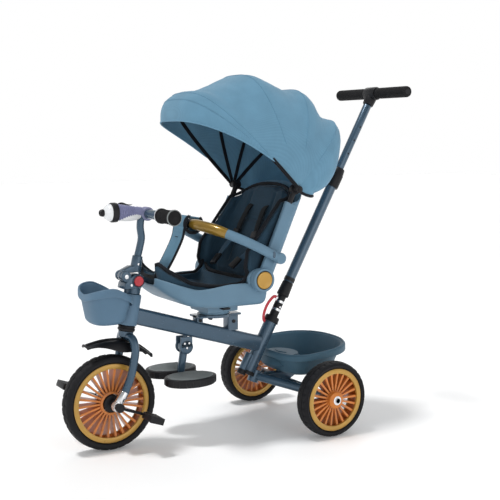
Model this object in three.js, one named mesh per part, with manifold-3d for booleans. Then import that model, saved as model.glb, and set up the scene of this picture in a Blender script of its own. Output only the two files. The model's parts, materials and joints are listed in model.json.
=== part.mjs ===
// A children's push tricycle: steered front wheel with pedals, swivelling and reclining seat, folding
// canopy, guard rail, footrest, telescopic push pole and two baskets.
// Units are millimetres. +Z is up, +X is the rider's left, the tricycle faces -Y. Inside this file the
// ground point under the front axle is (0, 0, 0); the group is shifted at the end so that the exported
// origin is the middle of the footprint's bounding box, on the ground.
import * as THREE from "three";
import { mergeVertices } from "three/addons/utils/BufferGeometryUtils.js";
import Module from "manifold-3d";

const wasm = await Module();
wasm.setup();

// ---- driving dimensions ----
const GAP = 0.4; // clearance between neighbouring pieces
const WHEEL_SIDES = 28;
const TREAD_CORNER = 1 / Math.cos(Math.PI / WHEEL_SIDES); // so that the flats lie at the radius
const ORIGIN_Y = 387; // middle of the footprint's bounding box, behind the front axle
const RIGHT = -1;
const LEFT = 1;

const FRONT_WHEEL = { radius: 130, width: 48, rim: 108.5, blades: 28, hub: 30, bore: 9 };
const REAR_WHEEL = { radius: 107, width: 50, rim: 89, blades: 22, hub: 25, bore: 8 };
const WHEELBASE = 582;
const REAR_TRACK = 430; // between the middles of the rear tyres

const STEER_FOOT = { y: 53, z: 325 }; // a point on the steering axis, at the foot of the head tube
const STEER_TILT = 10.4; // degrees back from vertical
const STEERER_RADIUS = 12;
const HEAD_TUBE = { radius: 20, bore: 13, bottom: 10, top: 98 }; // heights along the steering axis
const FORK_HALF_WIDTH = 50;
const FORK_TUBE = 11;

const BEAM = { front: { y: 62, z: 364 }, rear: { y: 480, z: 236 }, width: 36, depth: 46 };

const POLE_POINT = { y: 865, z: 934 }; // on the push pole's centre line, at its top joint
const POLE_TILT = 28.8;
const SOCKET = { radius: 19, bore: 14.5, bottom: 160, top: 297 }; // heights above ground
const POLE_ROOT_RADIUS = 13;
const POLE_LOWER = { radius: 15.5, bore: 13.4, bottom: 412, top: 700 };
const POLE_CLAMP = { radius: 21, bottom: 690, top: 745 };
const POLE_UPPER = { radius: 12.6, bottom: 620, top: 936 };
const PUSH_HANDLE = { halfLength: 166, y: 884, z: 972, radius: 10, grip: 16 };

const STEM_HINGE = { y: 46, z: 470 };
const BAR = { y: 117, z: 634, halfLength: 170, radius: 12.5 };
const LAMP_Z = 641;

const SWIVEL_Y = 324; // vertical axis on which the seat turns round
const SEAT_HALF_WIDTH = 149;
const SEAT_BASE_Z = 380;
const RECLINE = { y: 387, z: 453 }; // hinge of the backrest
const BACK_TILT = 24;
const BAND = { inner: 151, outer: 164, width: 34, length: 225 }; // side band of the back shell
const HINGE_DISC = 33;
const GUARD_HINGE = { x: 180, y: 428, z: 512 };
const GUARD_TUBE = 13;

const CANOPY_PIVOT = { y: 492, z: 697 };
// The hoops of the canopy, front to rear: angle back from vertical, reach and half-width.
const HOOPS = [
  { angle: -45, reach: 370, half: 186 },
  { angle: -17.2, reach: 329, half: 181 },
  { angle: 14.5, reach: 287, half: 176 },
  { angle: 45, reach: 274, half: 171 },
];
const VISOR = { angle: -58, reach: 352 };
const HEM = { angle: 100, reach: 92 };
const FABRIC = 2.4;

const FOOTREST_HINGE = { y: 228, z: 257 };
const FOOT_PAD = { x: 60, y: 216, z: 187, a: 54, b: 76, thick: 22 };

// ---- materials: one for each finish, cloned for each mesh ----
const FINISHES = {
  slate: { color: 0x4b6272, roughness: 0.35, metalness: 0.3 },
  shell: { color: 0x6f8ca0, roughness: 0.4, metalness: 0 },
  basket: { color: 0x50697a, roughness: 0.5, metalness: 0 },
  black: { color: 0x1b1c1f, roughness: 0.6, metalness: 0 },
  rubber: { color: 0x232425, roughness: 0.85, metalness: 0 },
  gold: { color: 0xc6912c, roughness: 0.3, metalness: 0.6 },
  orange: { color: 0xb0651e, roughness: 0.35, metalness: 0.2 },
  chrome: { color: 0xc8ccd0, roughness: 0.15, metalness: 1 },
  red: { color: 0xc23a3f, roughness: 0.4, metalness: 0 },
  lilac: { color: 0x8f92b5, roughness: 0.5, metalness: 0 },
  clear: { color: 0xe6eaec, roughness: 0.1, metalness: 0 },
  canopy: { color: 0x6f9fbc, roughness: 0.8, metalness: 0 },
  navy: { color: 0x2d4258, roughness: 0.85, metalness: 0 },
  strap: { color: 0x6a93ad, roughness: 0.8, metalness: 0 },
};

const tricycle = new THREE.Group();

function add(name, finish, geometry) {
  const mesh = new THREE.Mesh(facingOut(geometry), new THREE.MeshStandardMaterial(FINISHES[finish]));
  mesh.name = name;
  tricycle.add(mesh);
}

// ---- helpers: booleans ----
// The geometry with its faces turned to point out, judged by the volume that they enclose.
function facingOut(geometry) {
  const whole = geometry.index ? geometry.toNonIndexed() : geometry.clone();
  const p = whole.attributes.position;
  const [a, b, c] = [new THREE.Vector3(), new THREE.Vector3(), new THREE.Vector3()];
  let volume = 0;
  for (let i = 0; i < p.count; i += 3) {
    a.fromBufferAttribute(p, i);
    b.fromBufferAttribute(p, i + 1);
    c.fromBufferAttribute(p, i + 2);
    volume += a.dot(b.cross(c));
  }
  const plain = new THREE.BufferGeometry().setAttribute("position", p);
  if (volume > 0) return plain;
  for (let i = 0; i < p.count; i += 3) {
    a.fromBufferAttribute(p, i + 1);
    b.fromBufferAttribute(p, i + 2);
    p.setXYZ(i + 1, b.x, b.y, b.z);
    p.setXYZ(i + 2, a.x, a.y, a.z);
  }
  return plain;
}

function toSolid(geometry) {
  const plain = facingOut(geometry);
  const merged = mergeVertices(plain, 1e-3);
  const triVerts = [];
  for (let i = 0; i < merged.index.count; i += 3) {
    const [a, b, c] = [0, 1, 2].map((k) => merged.index.getX(i + k));
    if (a !== b && b !== c && a !== c) triVerts.push(a, b, c);
  }
  const vertProperties = new Float32Array(merged.attributes.position.array);
  return new wasm.Manifold(
    new wasm.Mesh({ numProp: 3, vertProperties, triVerts: new Uint32Array(triVerts) }),
  );
}

function toGeometry(solid) {
  const mesh = solid.getMesh();
  const geometry = new THREE.BufferGeometry();
  geometry.setAttribute("position", new THREE.Float32BufferAttribute(mesh.vertProperties, 3));
  geometry.setIndex(Array.from(mesh.triVerts));
  return geometry;
}

function join(...pieces) {
  return toGeometry(pieces.map(toSolid).reduce((whole, piece) => whole.add(piece)));
}

function cut(base, ...tools) {
  return toGeometry(tools.map(toSolid).reduce((rest, tool) => rest.subtract(tool), toSolid(base)));
}

// The biggest of the pieces that a cut has left, without its offcuts.
function largest(geometry) {
  const pieces = toSolid(geometry).decompose();
  return toGeometry(pieces.reduce((best, piece) => (piece.volume() > best.volume() ? piece : best)));
}

// ---- helpers: shapes ----
const rad = THREE.MathUtils.degToRad;
const at = (x, y, z) => new THREE.Vector3(x, y, z);

function box(x0, x1, y0, y1, z0, z1) {
  const geometry = new THREE.BoxGeometry(x1 - x0, y1 - y0, z1 - z0);
  return geometry.translate((x0 + x1) / 2, (y0 + y1) / 2, (z0 + z1) / 2);
}

// A round bar between two points, with an optional second radius at the far end.
function rod(from, to, radius, farRadius = radius, sides = 16) {
  const along = to.clone().sub(from);
  const geometry = new THREE.CylinderGeometry(farRadius, radius, along.length(), sides);
  const turn = new THREE.Quaternion().setFromUnitVectors(at(0, 1, 0), along.clone().normalize());
  return geometry.applyQuaternion(turn).translate(...from.clone().addScaledVector(along, 0.5));
}

// A disc or short cylinder on an axis along X.
function discX(x0, x1, y, z, radius, sides = 20) {
  return rod(at(x0, y, z), at(x1, y, z), radius, radius, sides);
}

// A pipe between two points.
function pipe(from, to, radius, bore, sides = 18) {
  const along = to.clone().sub(from).normalize();
  const before = from.clone().addScaledVector(along, -2);
  const after = to.clone().addScaledVector(along, 2);
  return cut(rod(from, to, radius, radius, sides), rod(before, after, bore, bore, sides));
}

function smooth(points) {
  return new THREE.CatmullRomCurve3(points, false, "centripetal");
}

// A solid of an outline swept along a curve.
function sweep(outline, points, steps) {
  return new THREE.ExtrudeGeometry(outline, {
    steps,
    bevelEnabled: false,
    extrudePath: smooth(points),
    curveSegments: 1,
  });
}

function tube(points, radius, steps, sides = 12) {
  const ring = new THREE.Shape();
  for (let i = 0; i < sides; i++) {
    const angle = (i / sides) * 2 * Math.PI;
    const put = i ? "lineTo" : "moveTo";
    ring[put](radius * Math.cos(angle), radius * Math.sin(angle));
  }
  return sweep(ring, points, steps);
}

// A plate drawn in the side view: points are [y, z], and the plate spans x0 to x1.
function sidePlate(points, x0, x1) {
  const shape = new THREE.Shape(points.map(([y, z]) => new THREE.Vector2(y, z)));
  const geometry = new THREE.ExtrudeGeometry(shape, { depth: x1 - x0, bevelEnabled: false });
  return geometry.applyMatrix4(new THREE.Matrix4().set(0, 0, 1, x0, 1, 0, 0, 0, 0, 1, 0, 0, 0, 0, 0, 1));
}

// A ring turned about the X axis: the profile is a closed loop of [x, radius].
function turnedX(profile, sides, x, y, z) {
  const points = profile.map(([along, radius]) => new THREE.Vector2(radius, along));
  points.push(points[0].clone());
  const geometry = new THREE.LatheGeometry(points, sides, Math.PI / sides);
  return geometry.rotateZ(-Math.PI / 2).translate(x, y, z);
}

// A thin closed sheet on a surface f(u, v), of a thickness laid along the side that the surface's
// du x dv points away from. With ring true, u closes on itself.
function sheet(f, nu, nv, thickness, ring = false) {
  const step = 1e-3;
  const outer = [];
  const inner = [];
  const columns = ring ? nu : nu + 1;
  for (let j = 0; j <= nv; j++) {
    for (let i = 0; i < columns; i++) {
      const u = i / nu;
      const v = j / nv;
      const point = f(u, v);
      const u0 = ring ? u - step : Math.max(u - step, 0);
      const u1 = ring ? u + step : Math.min(u + step, 1);
      const du = f(u1, v).sub(f(u0, v));
      const dv = f(u, Math.min(v + step, 1)).sub(f(u, Math.max(v - step, 0)));
      outer.push(point);
      inner.push(point.clone().addScaledVector(du.cross(dv).normalize(), -thickness));
    }
  }
  return closeSheet(outer, inner, columns, nv + 1, ring);
}

// Closes two grids of points, outer and inner, into one solid.
function closeSheet(outer, inner, columns, rows, ring) {
  const positions = [...outer, ...inner].flatMap((p) => [p.x, p.y, p.z]);
  const shift = outer.length;
  const index = [];
  const quad = (a, b, c, d) => index.push(a, b, c, a, c, d);
  const id = (i, j) => j * columns + (i % columns);
  const spans = ring ? columns : columns - 1;
  for (let j = 0; j < rows - 1; j++) {
    for (let i = 0; i < spans; i++) {
      quad(id(i, j), id(i + 1, j), id(i + 1, j + 1), id(i, j + 1));
      quad(
        shift + id(i, j + 1),
        shift + id(i + 1, j + 1),
        shift + id(i + 1, j),
        shift + id(i, j),
      );
    }
  }
  for (let i = 0; i < spans; i++) {
    quad(id(i + 1, 0), id(i, 0), shift + id(i, 0), shift + id(i + 1, 0));
    const last = rows - 1;
    quad(id(i, last), id(i + 1, last), shift + id(i + 1, last), shift + id(i, last));
  }
  if (!ring) {
    for (let j = 0; j < rows - 1; j++) {
      quad(id(0, j), id(0, j + 1), shift + id(0, j + 1), shift + id(0, j));
      const edge = columns - 1;
      quad(id(edge, j + 1), id(edge, j), shift + id(edge, j), shift + id(edge, j + 1));
    }
  }
  const geometry = new THREE.BufferGeometry();
  geometry.setAttribute("position", new THREE.Float32BufferAttribute(positions, 3));
  geometry.setIndex(index);
  return geometry;
}

// A value read off a smooth line through [key, value] pairs.
function graph(pairs) {
  const last = pairs.length - 1;
  return (key) => {
    let i = 0;
    while (i < last - 1 && key > pairs[i + 1][0]) i++;
    const [k0, v0] = pairs[i];
    const [k1, v1] = pairs[i + 1];
    const t = Math.min(Math.max((key - k0) / (k1 - k0), 0), 1);
    return v0 + (v1 - v0) * t * t * (3 - 2 * t);
  };
}

// A signed power, for rounded-square outlines.
const power = (value, exponent) => Math.sign(value) * Math.abs(value) ** exponent;

// ---- axes that several pieces share ----
function steerAxis(height) {
  const tilt = rad(STEER_TILT);
  return at(0, STEER_FOOT.y + height * Math.sin(tilt), STEER_FOOT.z + height * Math.cos(tilt));
}

function poleAt(z) {
  return at(0, POLE_POINT.y + (z - POLE_POINT.z) * Math.tan(rad(POLE_TILT)), z);
}

// ---- wheels ----
function tyreProfile({ radius, width, rim }) {
  const half = width / 2;
  const tread = radius * TREAD_CORNER;
  return [
    [-half + 10, tread],
    [-half, tread - 9],
    [-half + 6, rim + GAP],
    [-half + 11, rim - 4 + GAP],
    [half - 11, rim - 4 + GAP],
    [half - 6, rim + GAP],
    [half, tread - 9],
    [half - 10, tread],
  ];
}

function wheelCentre(spec, x, y, z) {
  const half = spec.width / 2;
  const rim = turnedX(
    [
      [-half + 10.5, spec.rim - 4],
      [-half + 5, spec.rim],
      [-half + 5, spec.rim - 9],
      [half - 5, spec.rim - 9],
      [half - 5, spec.rim],
      [half - 10.5, spec.rim - 4],
    ],
    WHEEL_SIDES,
    x,
    y,
    z,
  );
  const hub = pipe(at(x - 20, y, z), at(x + 20, y, z), spec.hub, spec.bore, 16);
  const blades = [];
  for (let i = 0; i < spec.blades; i++) {
    const blade = box(-15, 15, -1.2, 1.2, spec.hub - 2, spec.rim - 8);
    blades.push(blade.rotateX((i / spec.blades) * 2 * Math.PI).translate(x, y, z));
  }
  return join(rim, hub, ...blades);
}

function addWheel(prefix, spec, x, y) {
  add(prefix + "_tyre", "rubber", turnedX(tyreProfile(spec), WHEEL_SIDES, x, y, spec.radius));
  add(prefix + "_rim", "orange", wheelCentre(spec, x, y, spec.radius));
}

// ---- frame ----
function buildFrame() {
  const headTube = pipe(steerAxis(HEAD_TUBE.bottom), steerAxis(HEAD_TUBE.top), HEAD_TUBE.radius, HEAD_TUBE.bore);
  add("head_tube", "slate", headTube);
  add(
    "headset_cup",
    "black",
    pipe(steerAxis(-5), steerAxis(HEAD_TUBE.bottom - GAP), 24, HEAD_TUBE.bore),
  );

  const slope = Math.atan2(BEAM.rear.z - BEAM.front.z, BEAM.rear.y - BEAM.front.y);
  const length = Math.hypot(BEAM.rear.z - BEAM.front.z, BEAM.rear.y - BEAM.front.y);
  const beam = box(-BEAM.width / 2, BEAM.width / 2, 0, length, -BEAM.depth / 2, BEAM.depth / 2);
  beam.rotateX(slope).translate(0, BEAM.front.y, BEAM.front.z);
  const headClear = rod(steerAxis(-40), steerAxis(140), HEAD_TUBE.radius + GAP, HEAD_TUBE.radius + GAP, 18);
  const socketClear = rod(poleAt(100), poleAt(340), SOCKET.radius + GAP, SOCKET.radius + GAP, 18);
  const ahead = box(-40, 40, 0, BEAM.front.y, 250, 450);
  add("main_beam", "slate", cut(beam, headClear, socketClear, ahead, beyondSocket()));

  const latch = rod(poleAt(166).add(at(0, -24, 0)), poleAt(208).add(at(0, -24, 0)), 13);
  const socketBore = rod(poleAt(140), poleAt(310), SOCKET.bore, SOCKET.bore, 18);
  const socketTube = join(rod(poleAt(SOCKET.bottom), poleAt(SOCKET.top), SOCKET.radius, SOCKET.radius, 18), latch);
  add("pole_socket", "slate", cut(socketTube, socketBore));
  add("socket_cap", "black", pipe(poleAt(SOCKET.top + 0.4), poleAt(SOCKET.top + 16), 22, SOCKET.bore));
}

// The half-space behind the socket, so that the beam stops in front of it.
function beyondSocket() {
  const block = box(-40, 40, 0, 120, -150, 150);
  return block.rotateX(-rad(POLE_TILT)).translate(0, poleAt(236).y, 236);
}

function buildRear() {
  const axleZ = REAR_WHEEL.radius;
  const bottom = poleAt(SOCKET.bottom);
  const arms = [LEFT, RIGHT].map((side) =>
    tube(
      [
        at(0, bottom.y + 22, 143),
        at(side * 60, bottom.y + 62, 132),
        at(side * 130, WHEELBASE - 26, 116),
        at(side * 178, WHEELBASE, axleZ),
      ],
      13,
      8,
      10,
    ),
  );
  const boss = rod(at(0, bottom.y + 14, 129), at(0, bottom.y + 24, 160), 16);
  const bracket = sidePlate(
    [
      [WHEELBASE - 92, 125],
      [WHEELBASE - 10, 118],
      [WHEELBASE + 40, 146],
      [WHEELBASE - 92, 146],
    ],
    -14,
    14,
  );
  const crossBar = discX(-176, 176, WHEELBASE, axleZ, 13, 16);
  const web = box(-20, 20, bottom.y + 20, WHEELBASE, 112, 124);
  const fork = join(...arms, boss, bracket, crossBar, web);
  const socketClear = rod(poleAt(90), poleAt(340), SOCKET.radius + GAP, SOCKET.radius + GAP, 18);
  const axleClear = discX(-200, 200, WHEELBASE, axleZ, 7 + GAP, 16);
  add("rear_fork", "slate", cut(fork, socketClear, axleClear));
  add("rear_axle", "chrome", discX(-248, 248, WHEELBASE, axleZ, 7, 16));
  for (const side of [LEFT, RIGHT]) {
    const name = side === LEFT ? "rear_left" : "rear_right";
    const x = (side * REAR_TRACK) / 2;
    addWheel(name, REAR_WHEEL, x, WHEELBASE);
    const cap = rod(at(x + side * 20.5, WHEELBASE, axleZ), at(x + side * 31, WHEELBASE, axleZ), 22, 15, 18);
    const bore = discX(x - side * 10, x + side * 60, WHEELBASE, axleZ, 7 + GAP, 16);
    add(name + "_hub_cap", "black", cut(cap, bore));
  }
  add("rear_basket", "basket", rearBasket());
}

// The rear basket: a rounded tub, flatter at its front, with a thick rolled rim.
function rearBasket() {
  const centre = { y: 603, rimZ: 222, floorZ: 152 };
  const outline = (u, scale) => {
    const angle = u * 2 * Math.PI;
    const front = Math.sin(angle) < 0;
    const sharp = front ? 0.62 : 0.85;
    const depth = front ? 104 : 138;
    return [150 * scale * power(Math.cos(angle), sharp), depth * scale * power(Math.sin(angle), sharp)];
  };
  const size = graph([[0, 0.02], [0.35, 0.66], [0.45, 0.74], [0.8, 0.92], [0.9, 1], [1, 1.0]]);
  const height = graph([[0, 0], [0.35, 0], [0.45, 0.12], [0.8, 1], [0.9, 1], [1, 0.76]]);
  return sheet(
    (u, v) => {
      const [x, y] = outline(u, size(v));
      const z = centre.floorZ + (centre.rimZ - centre.floorZ + 0.08 * y) * height(v);
      return at(x, centre.y + y, z);
    },
    24,
    8,
    -3,
    true,
  );
}

// The front basket: a tub that dips at its front, with a shroud behind it round the head tube.
function frontBasket() {
  const centre = { y: -7, floorZ: 350 };
  const size = graph([[0, 0.02], [0.3, 0.6], [0.42, 0.72], [0.84, 0.94], [0.92, 1], [1, 1]]);
  const height = graph([[0, 0], [0.3, 0], [0.42, 0.1], [0.84, 1], [0.92, 1], [1, 0.8]]);
  const tub = sheet(
    (u, v) => {
      const angle = u * 2 * Math.PI;
      const x = 82 * size(v) * power(Math.cos(angle), 0.72);
      const y = centre.y + 62 * size(v) * power(Math.sin(angle), 0.72);
      const rimZ = 426 + 22 * (Math.abs(x) / 82) ** 1.5 - 0.45 * Math.max(0, y + 12);
      return at(x, y - 6 * (1 - size(v)), centre.floorZ + (rimZ - centre.floorZ) * height(v));
    },
    22,
    7,
    -2.6,
    true,
  );
  const shroud = rod(steerAxis(12), steerAxis(96), 27, 27, 18);
  const neck = box(-24, 24, 20, 50, 352, 404);
  const headClear = rod(steerAxis(-30), steerAxis(130), HEAD_TUBE.radius + GAP, HEAD_TUBE.radius + GAP, 18);
  const swingRoom = rod(steerAxis(98), steerAxis(200), 53, 53, 28);
  const beamRoom = box(-BEAM.width / 2 - GAP, BEAM.width / 2 + GAP, 50, 140, 280, 470);
  return cut(join(tub, shroud, neck), headClear, swingRoom, beamRoom);
}

// ---- steering ----
function buildSteering() {
  const half = FORK_HALF_WIDTH;
  const legs = [LEFT, RIGHT].map((side) =>
    tube(
      [
        at(side * 6, 50, 307),
        at(side * 38, 54, 302),
        at(side * half, 56, 276),
        at(side * half, 52, 245),
        at(side * half, 42, 205),
        at(side * half, 22, 160),
        at(side * half, 2, 134),
      ],
      FORK_TUBE,
      9,
      8,
    ),
  );
  const ends = [LEFT, RIGHT].map((side) =>
    discX(side * half - 6, side * half + 6, 0, FRONT_WHEEL.radius, 15, 16),
  );
  const steerer = rod(steerAxis(-22), steerAxis(128), STEERER_RADIUS, STEERER_RADIUS, 16);
  const axleClear = discX(-90, 90, 0, FRONT_WHEEL.radius, 7 + GAP, 16);
  add("fork", "slate", cut(join(...legs, ...ends, steerer), axleClear));
  add("mudguard", "black", mudguard());
  add("fold_bracket", "slate", foldBracket());
}

// The mudguard: an arched blade over the front tyre, with a skirt on each side.
function mudguard() {
  const reach = FRONT_WHEEL.radius + 40;
  return sheet(
    (u, v) => {
      const across = 2 * u - 1;
      const along = rad(-23 + 69 * v);
      const middle = 1 - Math.abs(2 * v - 1) ** 2;
      const half = 20 + 14 * middle;
      const drop = (6 + 22 * middle ** 3) * across ** 4;
      const radius = reach - drop + 4 * Math.max(0, 1 - v * 5);
      return at(half * across, radius * Math.sin(along), FRONT_WHEEL.radius + radius * Math.cos(along));
    },
    5,
    9,
    3,
  );
}

// The lower half of the folding joint, clamped on the steerer.
function foldBracket() {
  const side = [
    [38, 436],
    [44, 458],
    [60, 470],
    [74, 477],
    [90, 476],
    [94, 462],
    [90, 436],
  ];
  const body = sidePlate(side, -24, 24);
  const steererClear = rod(steerAxis(60), steerAxis(128 + GAP), STEERER_RADIUS + GAP, STEERER_RADIUS + GAP, 16);
  const knuckleClear = discX(-13, 13, STEM_HINGE.y, STEM_HINGE.z, 20, 18);
  const buttonClear = discX(13.5, 40, 80, 456, 15, 18);
  const lugs = [LEFT, RIGHT].map((way) =>
    discX(way * 14, way * 24, STEM_HINGE.y, STEM_HINGE.z, 14, 18),
  );
  return cut(join(cut(body, knuckleClear), ...lugs), steererClear, buttonClear);
}

// The crankshaft: it turns with the front wheel, and a pedal turns on each end.
function crankset() {
  const z = FRONT_WHEEL.radius;
  const crank = (side) => {
    const tip = pedalCentre(side);
    const x = side * 72;
    const arm = rod(at(x, 0, z), at(x, tip.y, tip.z), 8, 7, 12);
    const boss = discX(side * 66, side * 78, 0, z, 12, 16);
    const pin = discX(side * 72, side * 138, tip.y, tip.z, 4, 12);
    return join(arm, boss, pin);
  };
  return join(discX(-72, 72, 0, z, 7, 16), crank(LEFT), crank(RIGHT));
}

function pedalCentre(side) {
  const y = 78 * side;
  const z = FRONT_WHEEL.radius - 30 * side;
  return { x: side * 110, y, z };
}

function pedal(side) {
  const { x, y, z } = pedalCentre(side);
  const block = box(x - 26, x + 26, y - 21, y + 21, z - 10, z + 10);
  return cut(block, discX(x - 60, x + 60, y, z, 4 + GAP, 12));
}

// ---- handlebar ----
function buildHandlebar() {
  const sleeve = rod(at(0, 81, 479), at(0, 89, 519), 15.5, 15.5, 16);
  const knuckle = join(
    discX(-12.5, 12.5, STEM_HINGE.y, STEM_HINGE.z, 13, 18),
    sidePlate(
      [
        [44, 478.6],
        [60, 478.6],
        [88, 478.6],
        [90, 492],
        [62, 496],
        [40, 484],
      ],
      -12.5,
      12.5,
    ),
  );
  const post = tube(
    [at(0, 87, 508), at(0, 96, 545), at(0, 101, 570), at(0, 98, 598), at(0, 100, 618), at(0, 116, 632)],
    10,
    12,
    10,
  );
  const barClear = discX(-200, 200, BAR.y, BAR.z, BAR.radius + GAP, 18);
  add("stem", "slate", cut(join(sleeve, knuckle, post), barClear));
  add("handlebar", "slate", discX(-BAR.halfLength + 4, BAR.halfLength - 4, BAR.y, BAR.z, BAR.radius, 18));
  for (const side of [LEFT, RIGHT]) {
    const grip = turnedX(gripProfile(side), 16, 0, BAR.y, BAR.z);
    add(side === LEFT ? "grip_left" : "grip_right", "black", grip);
  }
  add("headlamp_body", "lilac", headlampBody());
  add("headlamp_lens", "clear", headlampLens());
  add("fold_button", "red", discX(19, 29, 80, 456, 14, 18));
}

function gripProfile(side) {
  const bore = BAR.radius + GAP;
  const loop = [
    [92, bore],
    [92, 20],
    [99, 20],
    [99, 17],
    [158, 17],
    [160, 21],
    [168, 21],
    [168, 0.01],
    [167, 0.01],
    [167, bore],
  ];
  return side === LEFT ? loop.reverse() : loop.map(([x, r]) => [-x, r]);
}

// Turns a profile of [distance ahead, radius] round the lamp's axis, which points forward.
function turnedForward(profile, sides) {
  const points = profile.map(([ahead, radius]) => new THREE.Vector2(radius, ahead));
  const geometry = new THREE.LatheGeometry(points, sides);
  return geometry.rotateX(Math.PI).translate(0, 100, LAMP_Z);
}

function headlampBody() {
  const body = turnedForward(
    [[-2, 0], [-2, 12], [20, 14], [45, 18], [70, 23], [72, 26], [88, 26], [88, 0]],
    16,
  );
  const belly = new THREE.SphereGeometry(1, 10, 6).scale(15, 42, 15).translate(0, 62, LAMP_Z - 11);
  const clamp = discX(-12, 12, BAR.y, BAR.z, BAR.radius + 6, 18);
  const barClear = discX(-40, 40, BAR.y, BAR.z, BAR.radius + GAP, 18);
  const postClear = rod(at(0, 96, 560), at(0, 101, BAR.z), 13, 13, 12);
  const postTop = rod(at(0, 98, 606), at(0, BAR.y, BAR.z), 13, 13, 12);
  return largest(cut(join(body, belly, clamp), barClear, postClear, postTop));
}

function headlampLens() {
  return turnedForward(
    [[88.4, 0], [88.4, 23], [94, 22], [102, 17], [107, 9], [118, 8], [118, 0]],
    20,
  );
}

// ---- seat ----
const seatHalf = graph([[110, 34], [125, 78], [160, 120], [230, 148], [300, SEAT_HALF_WIDTH], [420, SEAT_HALF_WIDTH]]);
const seatFloor = graph([[110, 450], [135, 424], [190, 390], [260, SEAT_BASE_Z], [420, SEAT_BASE_Z]]);
const seatSide = graph([[110, 468], [150, 452], [200, 436], [290, 447], [340, 447], [420, 424]]);

// The shell is a tub whose floor turns up at its front lip and at its rear wall.
function seatShell() {
  const wall = 0.88;
  const tub = sheet(
    (u, v) => {
      const y = 114 + 290 * Math.min(v / wall, 1);
      const up = (42 * Math.max(0, v - wall)) / (1 - wall);
      const across = 2 * u - 1;
      const x = seatHalf(y) * power(Math.sin((across * Math.PI) / 2), 0.8);
      const floor = seatFloor(y) + up;
      const rise = Math.abs(across) ** 6;
      return at(x, y + up * 0.05, floor + Math.max(0, seatSide(y) - floor) * rise);
    },
    12,
    9,
    -5,
  );
  const ears = [LEFT, RIGHT].map((side) =>
    discX(side * 138, side * 149.6, RECLINE.y - 6, RECLINE.z - 3, 33, 18),
  );
  return join(tub, ...ears);
}

// A cushion between two surfaces.
function slab(front, rear, nu, nv) {
  const grid = (f) => {
    const points = [];
    for (let j = 0; j <= nv; j++) for (let i = 0; i <= nu; i++) points.push(f(i / nu, j / nv));
    return points;
  };
  return closeSheet(grid(front), grid(rear), nu + 1, nv + 1, false);
}

function seatPad() {
  const surface = (lift, edge) => (u, v) => {
    const y = 130 + 234 * v;
    const across = 2 * u - 1;
    const x = (seatHalf(y) - 20) * across;
    return at(x, y, seatFloor(y) + lift + edge * across ** 4);
  };
  return slab(surface(38, 20), surface(16, 20), 8, 6);
}

function buildSeat() {
  add("seat_shell", "shell", seatShell());
  add("seat_pad", "navy", seatPad());
  const plateZ = SEAT_BASE_Z - 6;
  const plate = join(
    box(-52, 52, 276, 372, plateZ - 22, plateZ),
    rod(at(0, SWIVEL_Y, plateZ - 30), at(0, SWIVEL_Y, plateZ), 44, 44, 24),
  );
  const leverRoom = box(20, 90, 309, 341, plateZ - 14, plateZ - 4);
  add("swivel_plate", "shell", cut(plate, leverRoom));
  add("swivel_lever", "black", box(34, 72, 312, 338, plateZ - 12, plateZ - 6));
  add("seat_pedestal", "slate", pedestal(plateZ - 30 - GAP));
}

// The pedestal carries the swivel plate on the beam.
function pedestal(top) {
  const disc = rod(at(0, SWIVEL_Y, top - 8), at(0, SWIVEL_Y, top), 48, 48, 24);
  const front = box(-15, 15, 262, 282, 290, top - 2);
  const rear = box(-17, 17, 362, 396, 270, top - 2);
  const slope = Math.atan2(BEAM.rear.z - BEAM.front.z, BEAM.rear.y - BEAM.front.y);
  const beamRoom = box(-60, 60, 0, 500, -60, BEAM.depth / 2 + GAP);
  beamRoom.rotateX(slope).translate(0, BEAM.front.y, BEAM.front.z);
  const topPlate = box(-30, 30, 262, 396, top - 8, top - 2);
  return cut(join(disc, front, rear, topPlate), beamRoom);
}

// A point on the backrest: x across, h up along its tilt from the hinge, d behind the band's middle.
function backPoint(x, h, d) {
  const tilt = rad(BACK_TILT);
  return at(
    x,
    RECLINE.y + h * Math.sin(tilt) + d * Math.cos(tilt),
    RECLINE.z + h * Math.cos(tilt) - d * Math.sin(tilt),
  );
}

// The shell's side bands run from the hinge discs to the canopy's pivots, with a panel behind them.
function backShell() {
  const panel = sheet(
    (u, v) => {
      const across = 2 * u - 1;
      const h = 16 + (BAND.length - 16) * v + 78 * (1 - across ** 2) * v ** 3;
      const x = 158 * power(Math.sin((across * Math.PI) / 2), 0.85);
      return backPoint(x, h, 34 - 36 * Math.abs(across) ** 8);
    },
    12,
    6,
    5,
  );
  const bands = [LEFT, RIGHT].map((side) => {
    const inner = side * BAND.inner;
    const outer = side * BAND.outer;
    const half = BAND.width / 2;
    const band = box(Math.min(inner, outer), Math.max(inner, outer), -half, half, -10, BAND.length);
    return band.rotateX(-rad(BACK_TILT)).translate(0, RECLINE.y, RECLINE.z);
  });
  const discs = [LEFT, RIGHT].map((side) =>
    discX(side * BAND.inner, side * 171, RECLINE.y, RECLINE.z, HINGE_DISC, 22),
  );
  const pockets = [LEFT, RIGHT].map((side) =>
    discX(side * 157, side * 180, RECLINE.y, RECLINE.z, 24 + GAP, 22),
  );
  const pivot = backPoint(0, BAND.length, 0);
  const blocks = [LEFT, RIGHT].map((side) =>
    join(
      discX(side * 152, side * 163.5, CANOPY_PIVOT.y, CANOPY_PIVOT.z, 17, 16),
      rod(at(side * 157, pivot.y - 6, pivot.z - 10), at(side * 157, CANOPY_PIVOT.y, CANOPY_PIVOT.z), 6, 6, 8),
      discX(side * 152, side * 189, CANOPY_PIVOT.y, CANOPY_PIVOT.z, 5, 12),
    ),
  );
  return cut(join(panel, ...bands, ...discs, ...blocks), ...pockets);
}

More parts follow.
